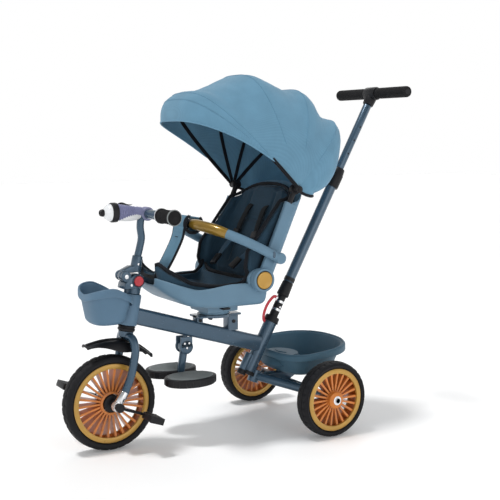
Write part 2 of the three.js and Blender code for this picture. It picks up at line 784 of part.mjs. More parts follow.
// The back pad: its wings come forward at the lower half.
function backPad() {
  const surface = (depth, reach) => (u, v) => {
    const across = 2 * u - 1;
    const h = 18 + (BAND.length - 20) * v + 62 * (1 - across ** 2) * v ** 3;
    const wing = reach * Math.sin(Math.PI * Math.min(1, 0.3 + 0.72 * v));
    const x = 136 * power(Math.sin((across * Math.PI) / 2), 0.9);
    return backPoint(x, h, depth - wing * across ** 6);
  };
  return slab(surface(6, 60), surface(32, 72), 12, 8);
}

function buildBackrest() {
  add("back_shell", "shell", backShell());
  add("back_pad", "navy", backPad());
  for (const side of [LEFT, RIGHT]) {
    const button = discX(side * 163, side * 174, RECLINE.y, RECLINE.z, 24, 22);
    add(side === LEFT ? "hinge_button_left" : "hinge_button_right", "gold", button);
  }
}

// ---- guard rail ----
function buildGuard() {
  const { x, y, z } = GUARD_HINGE;
  const half = (side) => [
    at(side * x, y, z),
    at(side * x, y - 32, z + 16),
    at(side * x, y - 64, z + 32),
    at(side * (x - 14), 318, 567),
    at(side * 122, 274, 589),
    at(side * 60, 250, 600),
  ];
  const path = [...half(LEFT), at(0, 243, 603), ...half(RIGHT).reverse()];
  add("guard_rail", "shell", tube(path, GUARD_TUBE, 28, 8));
  const strap = crotchStrap([
    [229, 608],
    [222, 580],
    [200, 552],
    [178, 510],
    [160, 478],
    [150, 456],
  ]);
  add("crotch_strap", "strap", strap);
}

// The strap wraps the rail and hangs in the middle plane: points are [y, z] along its middle.
function crotchStrap(points) {
  const curve = smooth(points.map(([y, z]) => at(0, y, z)));
  const half = 33;
  const wrap = cut(
    discX(-half, half, 243, 603, GUARD_TUBE + 11, 18),
    discX(-half - 5, half + 5, 243, 603, GUARD_TUBE + 4, 18),
  );
  const blade = sheet(
    (u, v) => {
      const p = curve.getPointAt(v);
      const taper = v > 0.9 ? Math.sqrt(Math.max(0, 1 - ((v - 0.9) / 0.1) ** 2 * 0.75)) : 1;
      return at((2 * u - 1) * half * taper, p.y, p.z);
    },
    4,
    8,
    9,
  );
  return cut(join(wrap, blade), discX(-half - 5, half + 5, 243, 603, GUARD_TUBE + 4, 18));
}

// ---- canopy ----
// A point on a hoop-shaped line over the seat: t runs from 0 at the left foot to 1 at the right foot.
function hoopPoint(angle, reach, half, t, square = 0.8) {
  const turn = Math.PI * t;
  const across = power(Math.cos(turn), 0.62) * half;
  const out = power(Math.sin(turn), square) * reach;
  return at(
    across,
    CANOPY_PIVOT.y + out * Math.sin(rad(angle)),
    CANOPY_PIVOT.z + out * Math.cos(rad(angle)),
  );
}

function bow({ angle, reach, half }) {
  const outline = new THREE.Shape([
    new THREE.Vector2(-2, -5),
    new THREE.Vector2(2, -5),
    new THREE.Vector2(2, 5),
    new THREE.Vector2(-2, 5),
  ]);
  const points = [];
  for (let i = 0; i <= 24; i++) points.push(hoopPoint(angle, reach - 8, half - 4, i / 24));
  const arch = sweep(outline, points, 18);
  const eyes = [LEFT, RIGHT].map((side) =>
    discX(side * (half - 6), side * (half - 2), CANOPY_PIVOT.y, CANOPY_PIVOT.z, 11, 12),
  );
  const pin = discX(-200, 200, CANOPY_PIVOT.y, CANOPY_PIVOT.z, 5 + GAP, 12);
  return cut(join(arch, ...eyes), pin);
}

// The fabric between two hoops: it sags a little towards the inside between them.
function panel(a, b, spans, from = 0.02, to = 0.98) {
  return sheet(
    (u, v) => {
      const angle = a.angle + (b.angle - a.angle) * v;
      const sag = 1 - 0.06 * Math.sin(Math.PI * v);
      const reach = (a.reach + (b.reach - a.reach) * v) * sag;
      const half = a.half + (b.half - a.half) * v;
      return hoopPoint(angle, reach, half, from + (to - from) * u);
    },
    18,
    spans,
    FABRIC,
  );
}

function buildCanopy() {
  HOOPS.forEach((hoop, i) => add("canopy_bow_" + (i + 1), "black", bow(hoop)));
  for (let i = 0; i < 3; i++) {
    const front = { ...HOOPS[i], angle: HOOPS[i].angle + 0.15 };
    const rear = { ...HOOPS[i + 1], angle: HOOPS[i + 1].angle - 0.15 };
    add("canopy_panel_" + (i + 1), "canopy", panel(front, rear, 3, 0.05, 0.95));
  }
  add("canopy_visor", "canopy", visor());
  add("canopy_rear", "canopy", rearPanel());
}

// The visor ahead of the first hoop, widest in the middle and running out at both sides.
function visor() {
  const first = HOOPS[0];
  return sheet(
    (u, v) => {
      const t = 0.1 + 0.8 * u;
      const middle = Math.sin(Math.PI * u) ** 0.6;
      const ahead = (1 - v) * middle;
      const angle = first.angle - 0.3 + (VISOR.angle - first.angle) * ahead - 2 * (1 - v);
      const reach = first.reach + (VISOR.reach - first.reach) * ahead;
      return hoopPoint(angle, reach, first.half, t);
    },
    16,
    2,
    FABRIC,
  );
}

// The rear of the canopy, from the last hoop down to its hem behind the seat back.
function rearPanel() {
  const last = HOOPS[3];
  const reachAt = graph([[last.angle, last.reach], [54, 262], [75, 190], [88, 145], [HEM.angle, HEM.reach]]);
  return sheet(
    (u, v) => {
      const angle = last.angle + (HEM.angle - last.angle) * v;
      const square = 0.8 - 0.4 * v;
      return hoopPoint(angle + 2.2, reachAt(angle), last.half, 0.05 + 0.9 * u, square);
    },
    18,
    4,
    FABRIC,
  );
}

// ---- footrest ----
function buildFootrest() {
  const { y, z } = FOOTREST_HINGE;
  const slope = Math.atan2(BEAM.rear.z - BEAM.front.z, BEAM.rear.y - BEAM.front.y);
  const beamRoom = box(-60, 60, 0, 500, -BEAM.depth / 2 - GAP, 60);
  beamRoom.rotateX(slope).translate(0, BEAM.front.y, BEAM.front.z);
  const cheeks = [LEFT, RIGHT].map((side) =>
    join(
      discX(side * 12, side * 17, y, z, 20, 18),
      box(side === LEFT ? 12 : -17, side === LEFT ? 17 : -12, y - 18, y + 18, z, z + 50),
    ),
  );
  const root = box(-17, 17, y - 18, y + 18, z + 22, z + 50);
  const pin = discX(-17, 17, y, z, 4, 16);
  add("footrest_bracket", "slate", cut(join(...cheeks, root, pin), beamRoom));

  const top = FOOT_PAD.z;
  const leg = rod(at(0, y, z), at(0, FOOT_PAD.y, top - 8), 11, 11, 14);
  const knuckle = discX(-11, 11, y, z, 17, 16);
  const bar = discX(-FOOT_PAD.x, FOOT_PAD.x, FOOT_PAD.y, top - 14, 7, 16);
  const pads = [LEFT, RIGHT].map((side) => {
    const pad = new THREE.CylinderGeometry(1, 0.96, FOOT_PAD.thick, 28).rotateX(Math.PI / 2);
    pad.scale(FOOT_PAD.a, FOOT_PAD.b, 1);
    return pad.translate(side * FOOT_PAD.x, FOOT_PAD.y, top - FOOT_PAD.thick / 2);
  });
  const hole = discX(-30, 30, y, z, 4 + GAP, 12);
  add("footrest", "black", cut(join(leg, knuckle, bar, ...pads), hole));
}

// ---- push pole ----
function buildPole() {
  const plug = join(
    rod(poleAt(176), poleAt(440), POLE_ROOT_RADIUS, POLE_ROOT_RADIUS, 18),
    rod(poleAt(372), poleAt(POLE_LOWER.bottom - GAP), 19, 19, 18),
  );
  add("pole_root", "black", plug);
  const lower = pipe(poleAt(POLE_LOWER.bottom), poleAt(POLE_LOWER.top), POLE_LOWER.radius, POLE_LOWER.bore);
  add("pole_lower", "slate", lower);
  const clamp = cut(
    rod(poleAt(POLE_CLAMP.bottom), poleAt(POLE_CLAMP.top), POLE_CLAMP.radius, POLE_CLAMP.radius, 18),
    rod(poleAt(660), poleAt(POLE_LOWER.top + GAP), POLE_LOWER.radius + GAP, POLE_LOWER.radius + GAP, 18),
    rod(poleAt(680), poleAt(760), POLE_LOWER.bore, POLE_LOWER.bore, 18),
  );
  add("pole_clamp", "black", clamp);
  const leverBase = poleAt(725);
  const lever = box(-6, 6, -31, -21.6, -16, 14).rotateX(-rad(POLE_TILT));
  add("pole_lever", "red", lever.translate(0, leverBase.y, leverBase.z));

  add("pole_upper", "slate", rod(poleAt(POLE_UPPER.bottom), poleAt(POLE_UPPER.top), POLE_UPPER.radius, POLE_UPPER.radius, 18));
  const { halfLength, y, z, radius, grip } = PUSH_HANDLE;
  const joint = rod(poleAt(POLE_UPPER.top + 1), at(0, y, z), 17, 19, 18);
  const bar = discX(-halfLength + 10, halfLength - 10, y, z, radius, 16);
  const knuckle = discX(-26, 26, y, z, 20, 18);
  add("push_handle", "black", join(joint, bar, knuckle));
  for (const side of [LEFT, RIGHT]) {
    const loop = [
      [30, radius + GAP],
      [30, grip],
      [halfLength - 4, grip],
      [halfLength, grip - 3],
      [halfLength, 0.01],
      [halfLength - 9, 0.01],
      [halfLength - 9, radius + GAP],
    ];
    const profile = side === LEFT ? loop.reverse() : loop.map(([x, r]) => [-x, r]);
    add(side === LEFT ? "push_grip_left" : "push_grip_right", "rubber", turnedX(profile, 24, 0, y, z));
  }
}

buildFrame();
buildRear();
add("front_basket", "basket", frontBasket());
buildSteering();
addWheel("front", FRONT_WHEEL, 0, 0);
add("crankset", "chrome", crankset());
add("pedal_left", "black", pedal(LEFT));
add("pedal_right", "black", pedal(RIGHT));
buildHandlebar();
buildSeat();
buildBackrest();
buildGuard();
buildCanopy();
buildFootrest();
buildPole();
tricycle.position.y = -ORIGIN_Y;

export default tricycle;
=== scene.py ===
import json
import math

import bmesh
import bpy
from mathutils import Matrix, Vector

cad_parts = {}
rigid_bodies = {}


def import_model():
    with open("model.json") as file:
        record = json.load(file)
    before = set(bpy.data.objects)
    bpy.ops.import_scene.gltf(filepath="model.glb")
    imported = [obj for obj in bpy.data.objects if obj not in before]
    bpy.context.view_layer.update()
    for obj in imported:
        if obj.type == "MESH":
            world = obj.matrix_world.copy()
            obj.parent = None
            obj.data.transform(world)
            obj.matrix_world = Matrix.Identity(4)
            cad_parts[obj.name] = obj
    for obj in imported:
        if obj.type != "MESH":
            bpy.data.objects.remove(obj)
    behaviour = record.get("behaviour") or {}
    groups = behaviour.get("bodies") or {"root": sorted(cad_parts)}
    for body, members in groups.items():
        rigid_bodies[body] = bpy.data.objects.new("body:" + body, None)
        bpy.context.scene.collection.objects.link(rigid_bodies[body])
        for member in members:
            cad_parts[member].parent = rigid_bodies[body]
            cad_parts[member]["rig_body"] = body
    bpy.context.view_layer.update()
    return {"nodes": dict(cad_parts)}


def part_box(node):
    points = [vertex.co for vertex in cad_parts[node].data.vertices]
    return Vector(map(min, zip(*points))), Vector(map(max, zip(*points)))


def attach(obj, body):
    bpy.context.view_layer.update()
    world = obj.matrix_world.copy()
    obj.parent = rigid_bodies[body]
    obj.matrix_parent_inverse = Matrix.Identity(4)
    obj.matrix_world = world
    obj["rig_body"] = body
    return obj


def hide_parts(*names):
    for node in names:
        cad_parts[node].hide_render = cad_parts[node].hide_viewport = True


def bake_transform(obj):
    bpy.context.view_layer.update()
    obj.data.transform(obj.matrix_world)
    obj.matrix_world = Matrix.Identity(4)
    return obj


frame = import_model()

# ---- places ----
# Lengths below are in millimetres from the ground under the front axle, as in the part, and at()
# turns them into the row frame. Forward is -Y, +X is the rider's left and +Z is up.
FRONT_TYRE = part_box("front_tyre")
AXLE_Y = (FRONT_TYRE[0][1] + FRONT_TYRE[1][1]) / 2
MM = 0.001
SIDES = (1, -1)
NAMED_SIDES = ((1, "left"), (-1, "right"))
ALONG_X = Vector((1, 0, 0))
UP = Vector((0, 0, 1))
STEER_TILT = math.radians(10.4)
POLE_TILT = math.radians(28.8)
BACK_TILT = math.radians(24)
# Pivots and centres seen from the side, as (y, z).
FRONT_AXLE = (0, 130)
REAR_AXLE = (582, 107)
FOLD_PIVOT = (46, 470)
RECLINE_PIVOT = (387, 453)
CANOPY_PIVOT = (492, 697)
GUARD_PIVOT = (428, 512)
FOOTREST_PIVOT = (228, 257)
HANDLEBAR = (117, 634)
LAMP = (100, 641)
PUSH_HANDLE = (884, 972)


def at(x, y, z):
    return Vector((x * MM, AXLE_Y + y * MM, z * MM))


def in_middle(*points):
    """The (y, z) points on the tricycle's middle plane."""
    return [at(0, y, z) for y, z in points]


def steer(height):
    """A point on the steering axis, above the foot of the head tube."""
    return at(0, 53 + height * math.sin(STEER_TILT), 325 + height * math.cos(STEER_TILT))


def pole(z, ahead=0.0):
    """A point on the push pole's axis, or ahead of it."""
    return at(0, 865 + (z - 934) * math.tan(POLE_TILT) - ahead, z)


def back(x, h, d):
    """A point h up the backrest from the recline pivot and d behind it."""
    y = RECLINE_PIVOT[0] + h * math.sin(BACK_TILT) + d * math.cos(BACK_TILT)
    return at(x, y, RECLINE_PIVOT[1] + h * math.cos(BACK_TILT) - d * math.sin(BACK_TILT))


def hoop(angle, reach, half, t, square=0.8):
    """The point t of the way over a canopy hoop that leans back from upright by the angle."""
    turn = math.pi * t
    across = power(math.cos(turn), 0.62) * half
    out = power(math.sin(turn), square) * reach
    a = math.radians(angle)
    return at(across, CANOPY_PIVOT[0] + out * math.sin(a), CANOPY_PIVOT[1] + out * math.cos(a))


def power(value, exponent):
    return math.copysign(abs(value) ** exponent, value)


def ramp(stops, x):
    """The value at x on straight lines through the stops."""
    if x <= stops[0][0]:
        return stops[0][1]
    for (x0, y0), (x1, y1) in zip(stops, stops[1:]):
        if x <= x1:
            return y0 + (y1 - y0) * (x - x0) / (x1 - x0)
    return stops[-1][1]


def curve(points, count):
    """count + 1 points evenly along a Catmull-Rom line through the points."""
    p = [2 * points[0] - points[1], *points, 2 * points[-1] - points[-2]]
    fine = []
    for i in range(1, len(p) - 2):
        for k in range(24):
            t = k / 24
            a, b, c, d = p[i - 1 : i + 3]
            fine.append(
                0.5 * (
                    2 * b + (c - a) * t + (2 * a - 5 * b + 4 * c - d) * t * t + (
                        3 * b - a - 3 * c + d
                    ) * t**3
                )
            )
    fine.append(points[-1].copy())
    lengths = [0.0]
    for a, b in zip(fine, fine[1:]):
        lengths.append(lengths[-1] + (b - a).length)
    out = []
    j = 0
    for i in range(count + 1):
        want = lengths[-1] * i / count
        while j < len(fine) - 2 and lengths[j + 1] < want:
            j += 1
        span = max(lengths[j + 1] - lengths[j], 1e-9)
        out.append(fine[j].lerp(fine[j + 1], min(1, (want - lengths[j]) / span)))
    return out


# ---- camera and light ----
def look(azimuth, elevation, distance, target, lens):
    a, e = math.radians(azimuth), math.radians(elevation)
    toward = Vector((math.sin(a) * math.cos(e), -math.cos(a) * math.cos(e), math.sin(e)))
    camera = bpy.data.objects.new("camera", bpy.data.cameras.new("camera"))
    camera.location = target + toward * distance
    camera.rotation_euler = toward.to_track_quat("Z", "Y").to_euler()
    camera.data.lens = lens
    camera.data.sensor_width = 36
    bpy.context.collection.objects.link(camera)
    bpy.context.scene.camera = camera


def softbox(name, place, target, size, watts):
    light = bpy.data.lights.new(name, "AREA")
    light.energy = watts
    light.size = size
    box = bpy.data.objects.new(name, light)
    box.location = place
    box.rotation_euler = (Vector(place) - Vector(target)).to_track_quat("Z", "Y").to_euler()
    bpy.context.collection.objects.link(box)


look(58.64, 6.66, 2.7646, at(0, 444.4, 515.5), 68.87)
softbox("fill", (2.8, 0.4, 1.3), (0, 0, 0.45), 2.0, 10)
softbox("back_light", (-1.8, 1.6, 2.4), (0, 0, 0.5), 1.8, 14)
sun = bpy.data.objects.new("key", bpy.data.lights.new("key", "SUN"))
sun.data.energy = 1.6
sun.data.angle = math.radians(9)
sun.rotation_euler = Vector((-0.1, -0.32, 1.0)).to_track_quat("Z", "Y").to_euler()
bpy.context.collection.objects.link(sun)
world = bpy.data.worlds.new("studio")
world.use_nodes = True
sky = world.node_tree.nodes
place = sky.new("ShaderNodeSeparateXYZ")
world.node_tree.links.new(sky.new("ShaderNodeTexCoord").outputs["Generated"], place.inputs[0])
fade = sky.new("ShaderNodeMapRange")
fade.inputs["From Min"].default_value = 0.2
fade.inputs["From Max"].default_value = 0.55
fade.inputs["To Min"].default_value = 1.0
fade.inputs["To Max"].default_value = 0.42
world.node_tree.links.new(place.outputs["Z"], fade.inputs["Value"])
sky["Background"].inputs[0].default_value = (1, 1, 1, 1)
world.node_tree.links.new(fade.outputs[0], sky["Background"].inputs[1])
bpy.context.scene.world = world
bpy.context.scene.view_settings.view_transform = "Standard"


# ---- materials ----
def shader(name, rough, metal=0.0, coat=0.0, sheen=0.0, transmission=0.0):
    made = bpy.data.materials.new(name)
    made.use_nodes = True
    tree = made.node_tree
    surface = tree.nodes["Principled BSDF"]
    surface.inputs["Roughness"].default_value = rough
    surface.inputs["Metallic"].default_value = metal
    surface.inputs["Coat Weight"].default_value = coat
    surface.inputs["Coat Roughness"].default_value = 0.12
    surface.inputs["Specular IOR Level"].default_value = 0.22 if rough > 0.4 else 0.4
    surface.inputs["Sheen Weight"].default_value = sheen
    surface.inputs["Transmission Weight"].default_value = transmission
    place = tree.nodes.new("ShaderNodeTexCoord").outputs["Object"]
    return made, tree, surface, place


def noise(tree, place, scale, detail=3.0):
    node = tree.nodes.new("ShaderNodeTexNoise")
    node.inputs["Scale"].default_value = scale
    node.inputs["Detail"].default_value = detail
    tree.links.new(place, node.inputs["Vector"])
    return node.outputs["Fac"]


def wave(tree, place, direction, period):
    node = tree.nodes.new("ShaderNodeTexWave")
    node.bands_direction = direction
    node.inputs["Scale"].default_value = 0.314 / period
    tree.links.new(place, node.inputs["Vector"])
    return node.outputs["Fac"]


def math_node(tree, operation, a, b):
    node = tree.nodes.new("ShaderNodeMath")
    node.operation = operation
    for socket, value in zip(node.inputs, (a, b)):
        if isinstance(value, float):
            socket.default_value = value
        else:
            tree.links.new(value, socket)
    return node.outputs[0]


def between(tree, factor, low, high):
    node = tree.nodes.new("ShaderNodeValToRGB")
    node.color_ramp.elements[0].position = 0.3
    node.color_ramp.elements[1].position = 0.7
    node.color_ramp.elements[0].color = (*low, 1)
    node.color_ramp.elements[1].color = (*high, 1)
    tree.links.new(factor, node.inputs[0])
    return node.outputs[0]


def lighten_edges(tree, colour, edge):
    worn = tree.nodes.new("ShaderNodeMapRange")
    worn.inputs["From Min"].default_value = 0.52
    worn.inputs["From Max"].default_value = 0.62
    worn.inputs["To Max"].default_value = edge * 0.5
    tree.links.new(
        tree.nodes.new("ShaderNodeNewGeometry").outputs["Pointiness"], worn.inputs["Value"]
    )
    mix = tree.nodes.new("ShaderNodeMix")
    mix.data_type = "RGBA"
    mix.blend_type = "SCREEN"
    tree.links.new(worn.outputs[0], mix.inputs["Factor"])
    tree.links.new(colour, mix.inputs["A"])
    mix.inputs["B"].default_value = (0.5, 0.5, 0.5, 1)
    return mix.outputs["Result"]


def shift(colour, share):
    return tuple(max(0.0, min(1.0, c * share)) for c in colour)


def bumped(tree, surface, height, strength, distance):
    bump = tree.nodes.new("ShaderNodeBump")
    bump.inputs["Strength"].default_value = strength
    bump.inputs["Distance"].default_value = distance
    tree.links.new(height, bump.inputs["Height"])
    tree.links.new(bump.outputs[0], surface.inputs["Normal"])


def moulded(
    name, colour, rough, grain=900, strength=0.15, mottle=0.07, edge=0.25, metal=0.0, coat=0.0,
    patch=14,
):
    """Moulded plastic, rubber or paint: faint mottling, a fine grain and slightly paler edges."""
    made, tree, surface, place = shader(name, rough, metal, coat)
    soft = noise(tree, place, patch)
    tone = between(tree, soft, shift(colour, 1 - mottle), shift(colour, 1 + mottle))
    tree.links.new(lighten_edges(tree, tone, edge), surface.inputs["Base Color"])
    gloss = tree.nodes.new("ShaderNodeMapRange")
    gloss.inputs["To Min"].default_value = max(0.03, rough - 0.07)
    gloss.inputs["To Max"].default_value = rough + 0.08
    tree.links.new(noise(tree, place, patch * 6, 4.0), gloss.inputs["Value"])
    tree.links.new(gloss.outputs[0], surface.inputs["Roughness"])
    bumped(tree, surface, noise(tree, place, grain, 2.0), strength, 0.0006)
    return made


def woven(name, colour, thread=0.0016, crease=0.25, sheen=0.35, mottle=0.08, rib=False):
    """Woven cloth or webbing: crossing threads, soft creases and a slight sheen."""
    made, tree, surface, place = shader(name, 0.85, sheen=sheen * 0.3)
    warp = wave(tree, place, "X", thread)
    weft = wave(tree, place, "Z", thread * (1.6 if rib else 1.0))
    depth = wave(tree, place, "Y", thread * (1.6 if rib else 1.0))
    threads = math_node(
        tree, "MULTIPLY", math_node(tree, "ADD", warp, math_node(tree, "ADD", weft, depth)), 0.33
    )
    folds = noise(tree, place, 22, 3.0)
    fuzz = noise(tree, place, 700, 2.0)
    tone = math_node(
        tree, "ADD", math_node(tree, "MULTIPLY", folds, 0.6),
        math_node(tree, "MULTIPLY", threads, 0.4),
    )
    dark, light = shift(colour, 1 - mottle * 1.6), shift(colour, 1 + mottle)
    tree.links.new(between(tree, tone, dark, light), surface.inputs["Base Color"])
    height = math_node(tree, "ADD", math_node(tree, "MULTIPLY", folds, crease * 6), threads)
    height = math_node(tree, "ADD", height, math_node(tree, "MULTIPLY", fuzz, 0.4))
    bumped(tree, surface, height, 0.35, 0.0009)
    return made


SLATE = moulded("slate_paint", (0.042, 0.088, 0.138), 0.24, 500, 0.05, 0.05, 0.12, 0.35, 0.4)
SHELL = moulded("shell_plastic", (0.128, 0.228, 0.318), 0.42, 1200, 0.12, 0.04, 0.12)
BASKET = moulded("basket_plastic", (0.1, 0.182, 0.268), 0.48, 1100, 0.18, 0.05, 0.15)
DEEP = moulded("rear_basket_plastic", (0.056, 0.122, 0.175), 0.48, 1100, 0.18, 0.05, 0.1)
BLACK = moulded("black_plastic", (0.008, 0.008, 0.010), 0.42, 1200, 0.2, 0.2, 0.06)
FOAM = moulded("foam_rubber", (0.010, 0.010, 0.011), 0.78, 1500, 0.5, 0.25, 0.04)
TYRE = moulded("tyre_rubber", (0.008, 0.008, 0.010), 0.62, 800, 0.35, 0.25, 0.05)
GOLD = moulded("gold_paint", (0.47, 0.26, 0.04), 0.3, 700, 0.08, 0.1, 0.1, 0.3, 0.4)
BRASS = moulded("olive_gold", (0.27, 0.16, 0.018), 0.3, 700, 0.08, 0.16, 0.1, 0.35, 0.5)
ORANGE = moulded("amber_plastic", (0.56, 0.17, 0.018), 0.3, 900, 0.1, 0.2, 0.1)
CHROME = moulded("chrome", (0.72, 0.73, 0.75), 0.12, 300, 0.03, 0.05, 0.05, 1.0)
RED = moulded("red_plastic", (0.55, 0.035, 0.05), 0.3, 900, 0.1, 0.08, 0.15)
LILAC = moulded("lilac_plastic", (0.2, 0.21, 0.36), 0.4, 900, 0.12, 0.06, 0.2)
WHITE = moulded("white_plastic", (0.78, 0.79, 0.8), 0.3, 900, 0.08, 0.04, 0.05)
GREY = moulded("grey_pad", (0.2, 0.22, 0.22), 0.5, 900, 0.3, 0.1, 0.15)
LENS = moulded("clear_lens", (0.86, 0.88, 0.9), 0.08, 200, 0.05, 0.03, 0.0, 0.0, 0.6)
CANOPY = woven("canopy_cloth", (0.135, 0.29, 0.415), 0.0016, 0.3, 0.4, 0.07)
LINING = woven("lining_cloth", (0.125, 0.27, 0.39), 0.0016, 0.3, 0.4, 0.08)
NAVY = woven("liner_cloth", (0.02, 0.052, 0.084), 0.0018, 0.35, 0.3, 0.14)
STEEL_BLUE = woven("side_cloth", (0.038, 0.085, 0.135), 0.0018, 0.3, 0.3, 0.1)
PALE = woven("strap_cloth", (0.105, 0.225, 0.32), 0.0018, 0.2, 0.3, 0.06)
PIPING = woven("dark_trim", (0.008, 0.010, 0.014), 0.0014, 0.15, 0.2, 0.2)
WEB = woven("dark_webbing", (0.010, 0.012, 0.014), 0.002, 0.1, 0.15, 0.2, True)


# The part's material slot that each material stands for, where a piece names no other.
SLOT_MATERIALS = {
    "slate": [SLATE], "shell": [SHELL, BRASS], "basket": [BASKET, DEEP],
    "black": [BLACK, FOAM, GREY], "tyre": [TYRE], "gold": [GOLD], "orange": [ORANGE],
    "chrome": [CHROME], "red": [RED], "lilac": [LILAC], "clear": [WHITE, LENS],
    "canopy": [CANOPY], "navy": [NAVY], "strap": [STEEL_BLUE, PALE, PIPING, WEB],
}
SLOTS = {material.name: slot for slot, group in SLOT_MATERIALS.items() for material in group}


# ---- mesh helpers ----
def piece(name, mesh, material, body, node=None, slot=None, angle=40, **change):
    """A final mesh object from one mesh or a list of them, shaded smooth below the angle.

    change can thicken it (solid, offset), bevel it (bevel) or subdivide it (levels).
    """
    verts, faces = together(*mesh) if isinstance(mesh, list) else mesh
    data = bpy.data.meshes.new(name)
    data.from_pydata([tuple(v) for v in verts], [], faces)
    work = bmesh.new()
    work.from_mesh(data)
    bmesh.ops.remove_doubles(work, verts=work.verts, dist=1e-6)
    bmesh.ops.recalc_face_normals(work, faces=work.faces)
    work.to_mesh(data)
    work.free()
    made = bpy.data.objects.new(name, data)
    bpy.context.collection.objects.link(made)
    data.materials.append(material)
    if "solid" in change:
        thick = made.modifiers.new("thick", "SOLIDIFY")
        thick.thickness = change["solid"]
        thick.offset = change.get("offset", -1)
    if "bevel" in change:
        round_off = made.modifiers.new("bevel", "BEVEL")
        round_off.width = change["bevel"]
        round_off.segments = 3
        round_off.limit_method = "ANGLE"
        round_off.angle_limit = math.radians(30)
    if "levels" in change:
        finer = made.modifiers.new("finer", "SUBSURF")
        finer.levels = finer.render_levels = change["levels"]
    settle(made, angle)
    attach(made, body)
    slot or SLOTS[material.name]
    if node:
        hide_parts(node)
    return made


def settle(made, angle):
    """Applies the modifiers and shades the mesh smooth."""
    if made.modifiers:
        graph = bpy.context.evaluated_depsgraph_get()
        final = bpy.data.meshes.new_from_object(made.evaluated_get(graph))
        made.modifiers.clear()
        made.data = final
    made.data.polygons.foreach_set("use_smooth", [True] * len(made.data.polygons))
    made.data.set_sharp_from_angle(angle=math.radians(angle))


def basis(along):
    z = along.normalized()
    x = ALONG_X if abs(z.x) < 0.8 else UP
    y = z.cross(x).normalized()
    return y.cross(z).normalized(), y


def grid_faces(rows, columns, ring=True, loop=False):
    """Quads between rows of points; a ring closes each row, a loop joins the last to the first."""
    faces = []
    for j in range(rows if loop else rows - 1):
        below, above = j * columns, (j + 1) % rows * columns
        for i in range(columns if ring else columns - 1):
            k = (i + 1) % columns
            faces.append((below + i, below + k, above + k, above + i))
    return faces


def turned(profile, origin, along, sides=48, squeeze=1.0):
    """The profile of (distance along, radius) turned round an axis."""
    x, y = basis(along)
    z = along.normalized()
    verts = []
    for s, r in profile:
        for i in range(sides):
            a = 2 * math.pi * i / sides
            ring = x * math.cos(a) * squeeze + y * math.sin(a)
            verts.append(origin + z * (s * MM) + ring * (max(r, 0.0005) * MM))
    return verts, grid_faces(len(profile), sides)


def turned_across(profile, place, sides=48, side=1):
    """The profile turned round a line along X through the (y, z) place, towards one side."""
    return turned([(side * a, r) for a, r in profile], at(0, *place), ALONG_X, sides)


def on_steerer(profile, sides=48):
    return turned(profile, steer(0), steer(1) - steer(0), sides)


def ring_profile(profile):
    return [*profile, profile[0]]


def rod(a, b, radius, sides=32, edge=1.0, end_radius=None):
    """A round bar with rounded edges from point a to point b."""
    length = (b - a).length / MM
    r2 = radius if end_radius is None else end_radius
    e = min(edge, radius * 0.6, length * 0.3)
    profile = [(0, 0), (0, radius - e), (0.3 * e, radius - 0.3 * e), (e, radius)]
    profile += [(length - e, r2), (length - 0.3 * e, r2 - 0.3 * e), (length, r2 - e), (length, 0)]
    return turned(profile, a, b - a, sides)


def across(x0, x1, y, z, radius, sides=40, edge=1.0, end_radius=None):
    return rod(at(x0, y, z), at(x1, y, z), radius, sides, edge, end_radius)


def both(x0, x1, y, z, radius, sides, edge=1.0):
    """A bar along X from x0 to x1, on the left and on the right."""
    return [across(s * x0, s * x1, y, z, radius, sides, edge) for s in SIDES]


def swept(path, outline, up=None, swell=None):
    """The outline of (sideways, upwards) offsets carried along the path, without roll."""
    verts = []
    count = len(outline)
    side = None
    for i, p in enumerate(path):
        ahead = (path[min(i + 1, len(path) - 1)] - path[max(i - 1, 0)]).normalized()
        if up is not None:
            side = ahead.cross(up).normalized()
        elif side is None:
            side = basis(ahead)[0]
        else:
            side = (side - ahead * side.dot(ahead)).normalized()
        top = side.cross(ahead).normalized()
        size = 1.0 if swell is None else swell(i / (len(path) - 1))
        verts += [p + (side * a + top * b) * (MM * size) for a, b in outline]
    ends = [tuple(range(count)), tuple(range(len(verts) - count, len(verts)))]
    return verts, grid_faces(len(path), count) + ends


def circle(radius, count=20, flat=1.0):
    turn = [2 * math.pi * i / count for i in range(count)]
    return [(radius * math.cos(a), radius * flat * math.sin(a)) for a in turn]


def rounded(half_width, half_height, corner, steps=4):
    """A rectangle with round corners."""
    out = []
    for cx, cy, start in ((1, 1, 0), (-1, 1, 90), (-1, -1, 180), (1, -1, 270)):
        for i in range(steps + 1):
            a = math.radians(start + 90 * i / steps)
            x = cx * (half_width - corner) + corner * math.cos(a)
            y = cy * (half_height - corner) + corner * math.sin(a)
            out.append((x, y))
    return out


def tube(points, radius, steps=40, sides=20):
    return swept(curve(points, steps), circle(radius, sides))


def surface(f, nu, nv, ring=False):
    """The grid f(u, v); with ring, its last column is its first."""
    verts = []
    columns = nu if ring else nu + 1
    for j in range(nv + 1):
        verts += [f(i / nu, j / nv) for i in range(columns)]
    return verts, grid_faces(nv + 1, columns, ring)


def plate(points, x0, x1):
    """The outline of (y, z) points carried from x0 to x1."""
    verts = [at(x, y, z) for x in (x0, x1) for y, z in points]
    n = len(points)
    faces = [tuple(range(n)), tuple(range(n, 2 * n))]
    faces += [(i, (i + 1) % n, n + (i + 1) % n, n + i) for i in range(n)]
    return verts, faces


def block(x0, x1, y0, y1, z0, z1):
    return plate([(y0, z0), (y1, z0), (y1, z1), (y0, z1)], x0, x1)


def together(*meshes):
    verts, faces = [], []
    for v, f in meshes:
        faces += [tuple(i + len(verts) for i in face) for face in f]
        verts += v
    return verts, faces


def shell_of(name, mesh, material, body, node, thick, offset=0):
    return piece(
        name, mesh, material, body, node, angle=60, solid=thick * MM, levels=1, offset=offset
    )


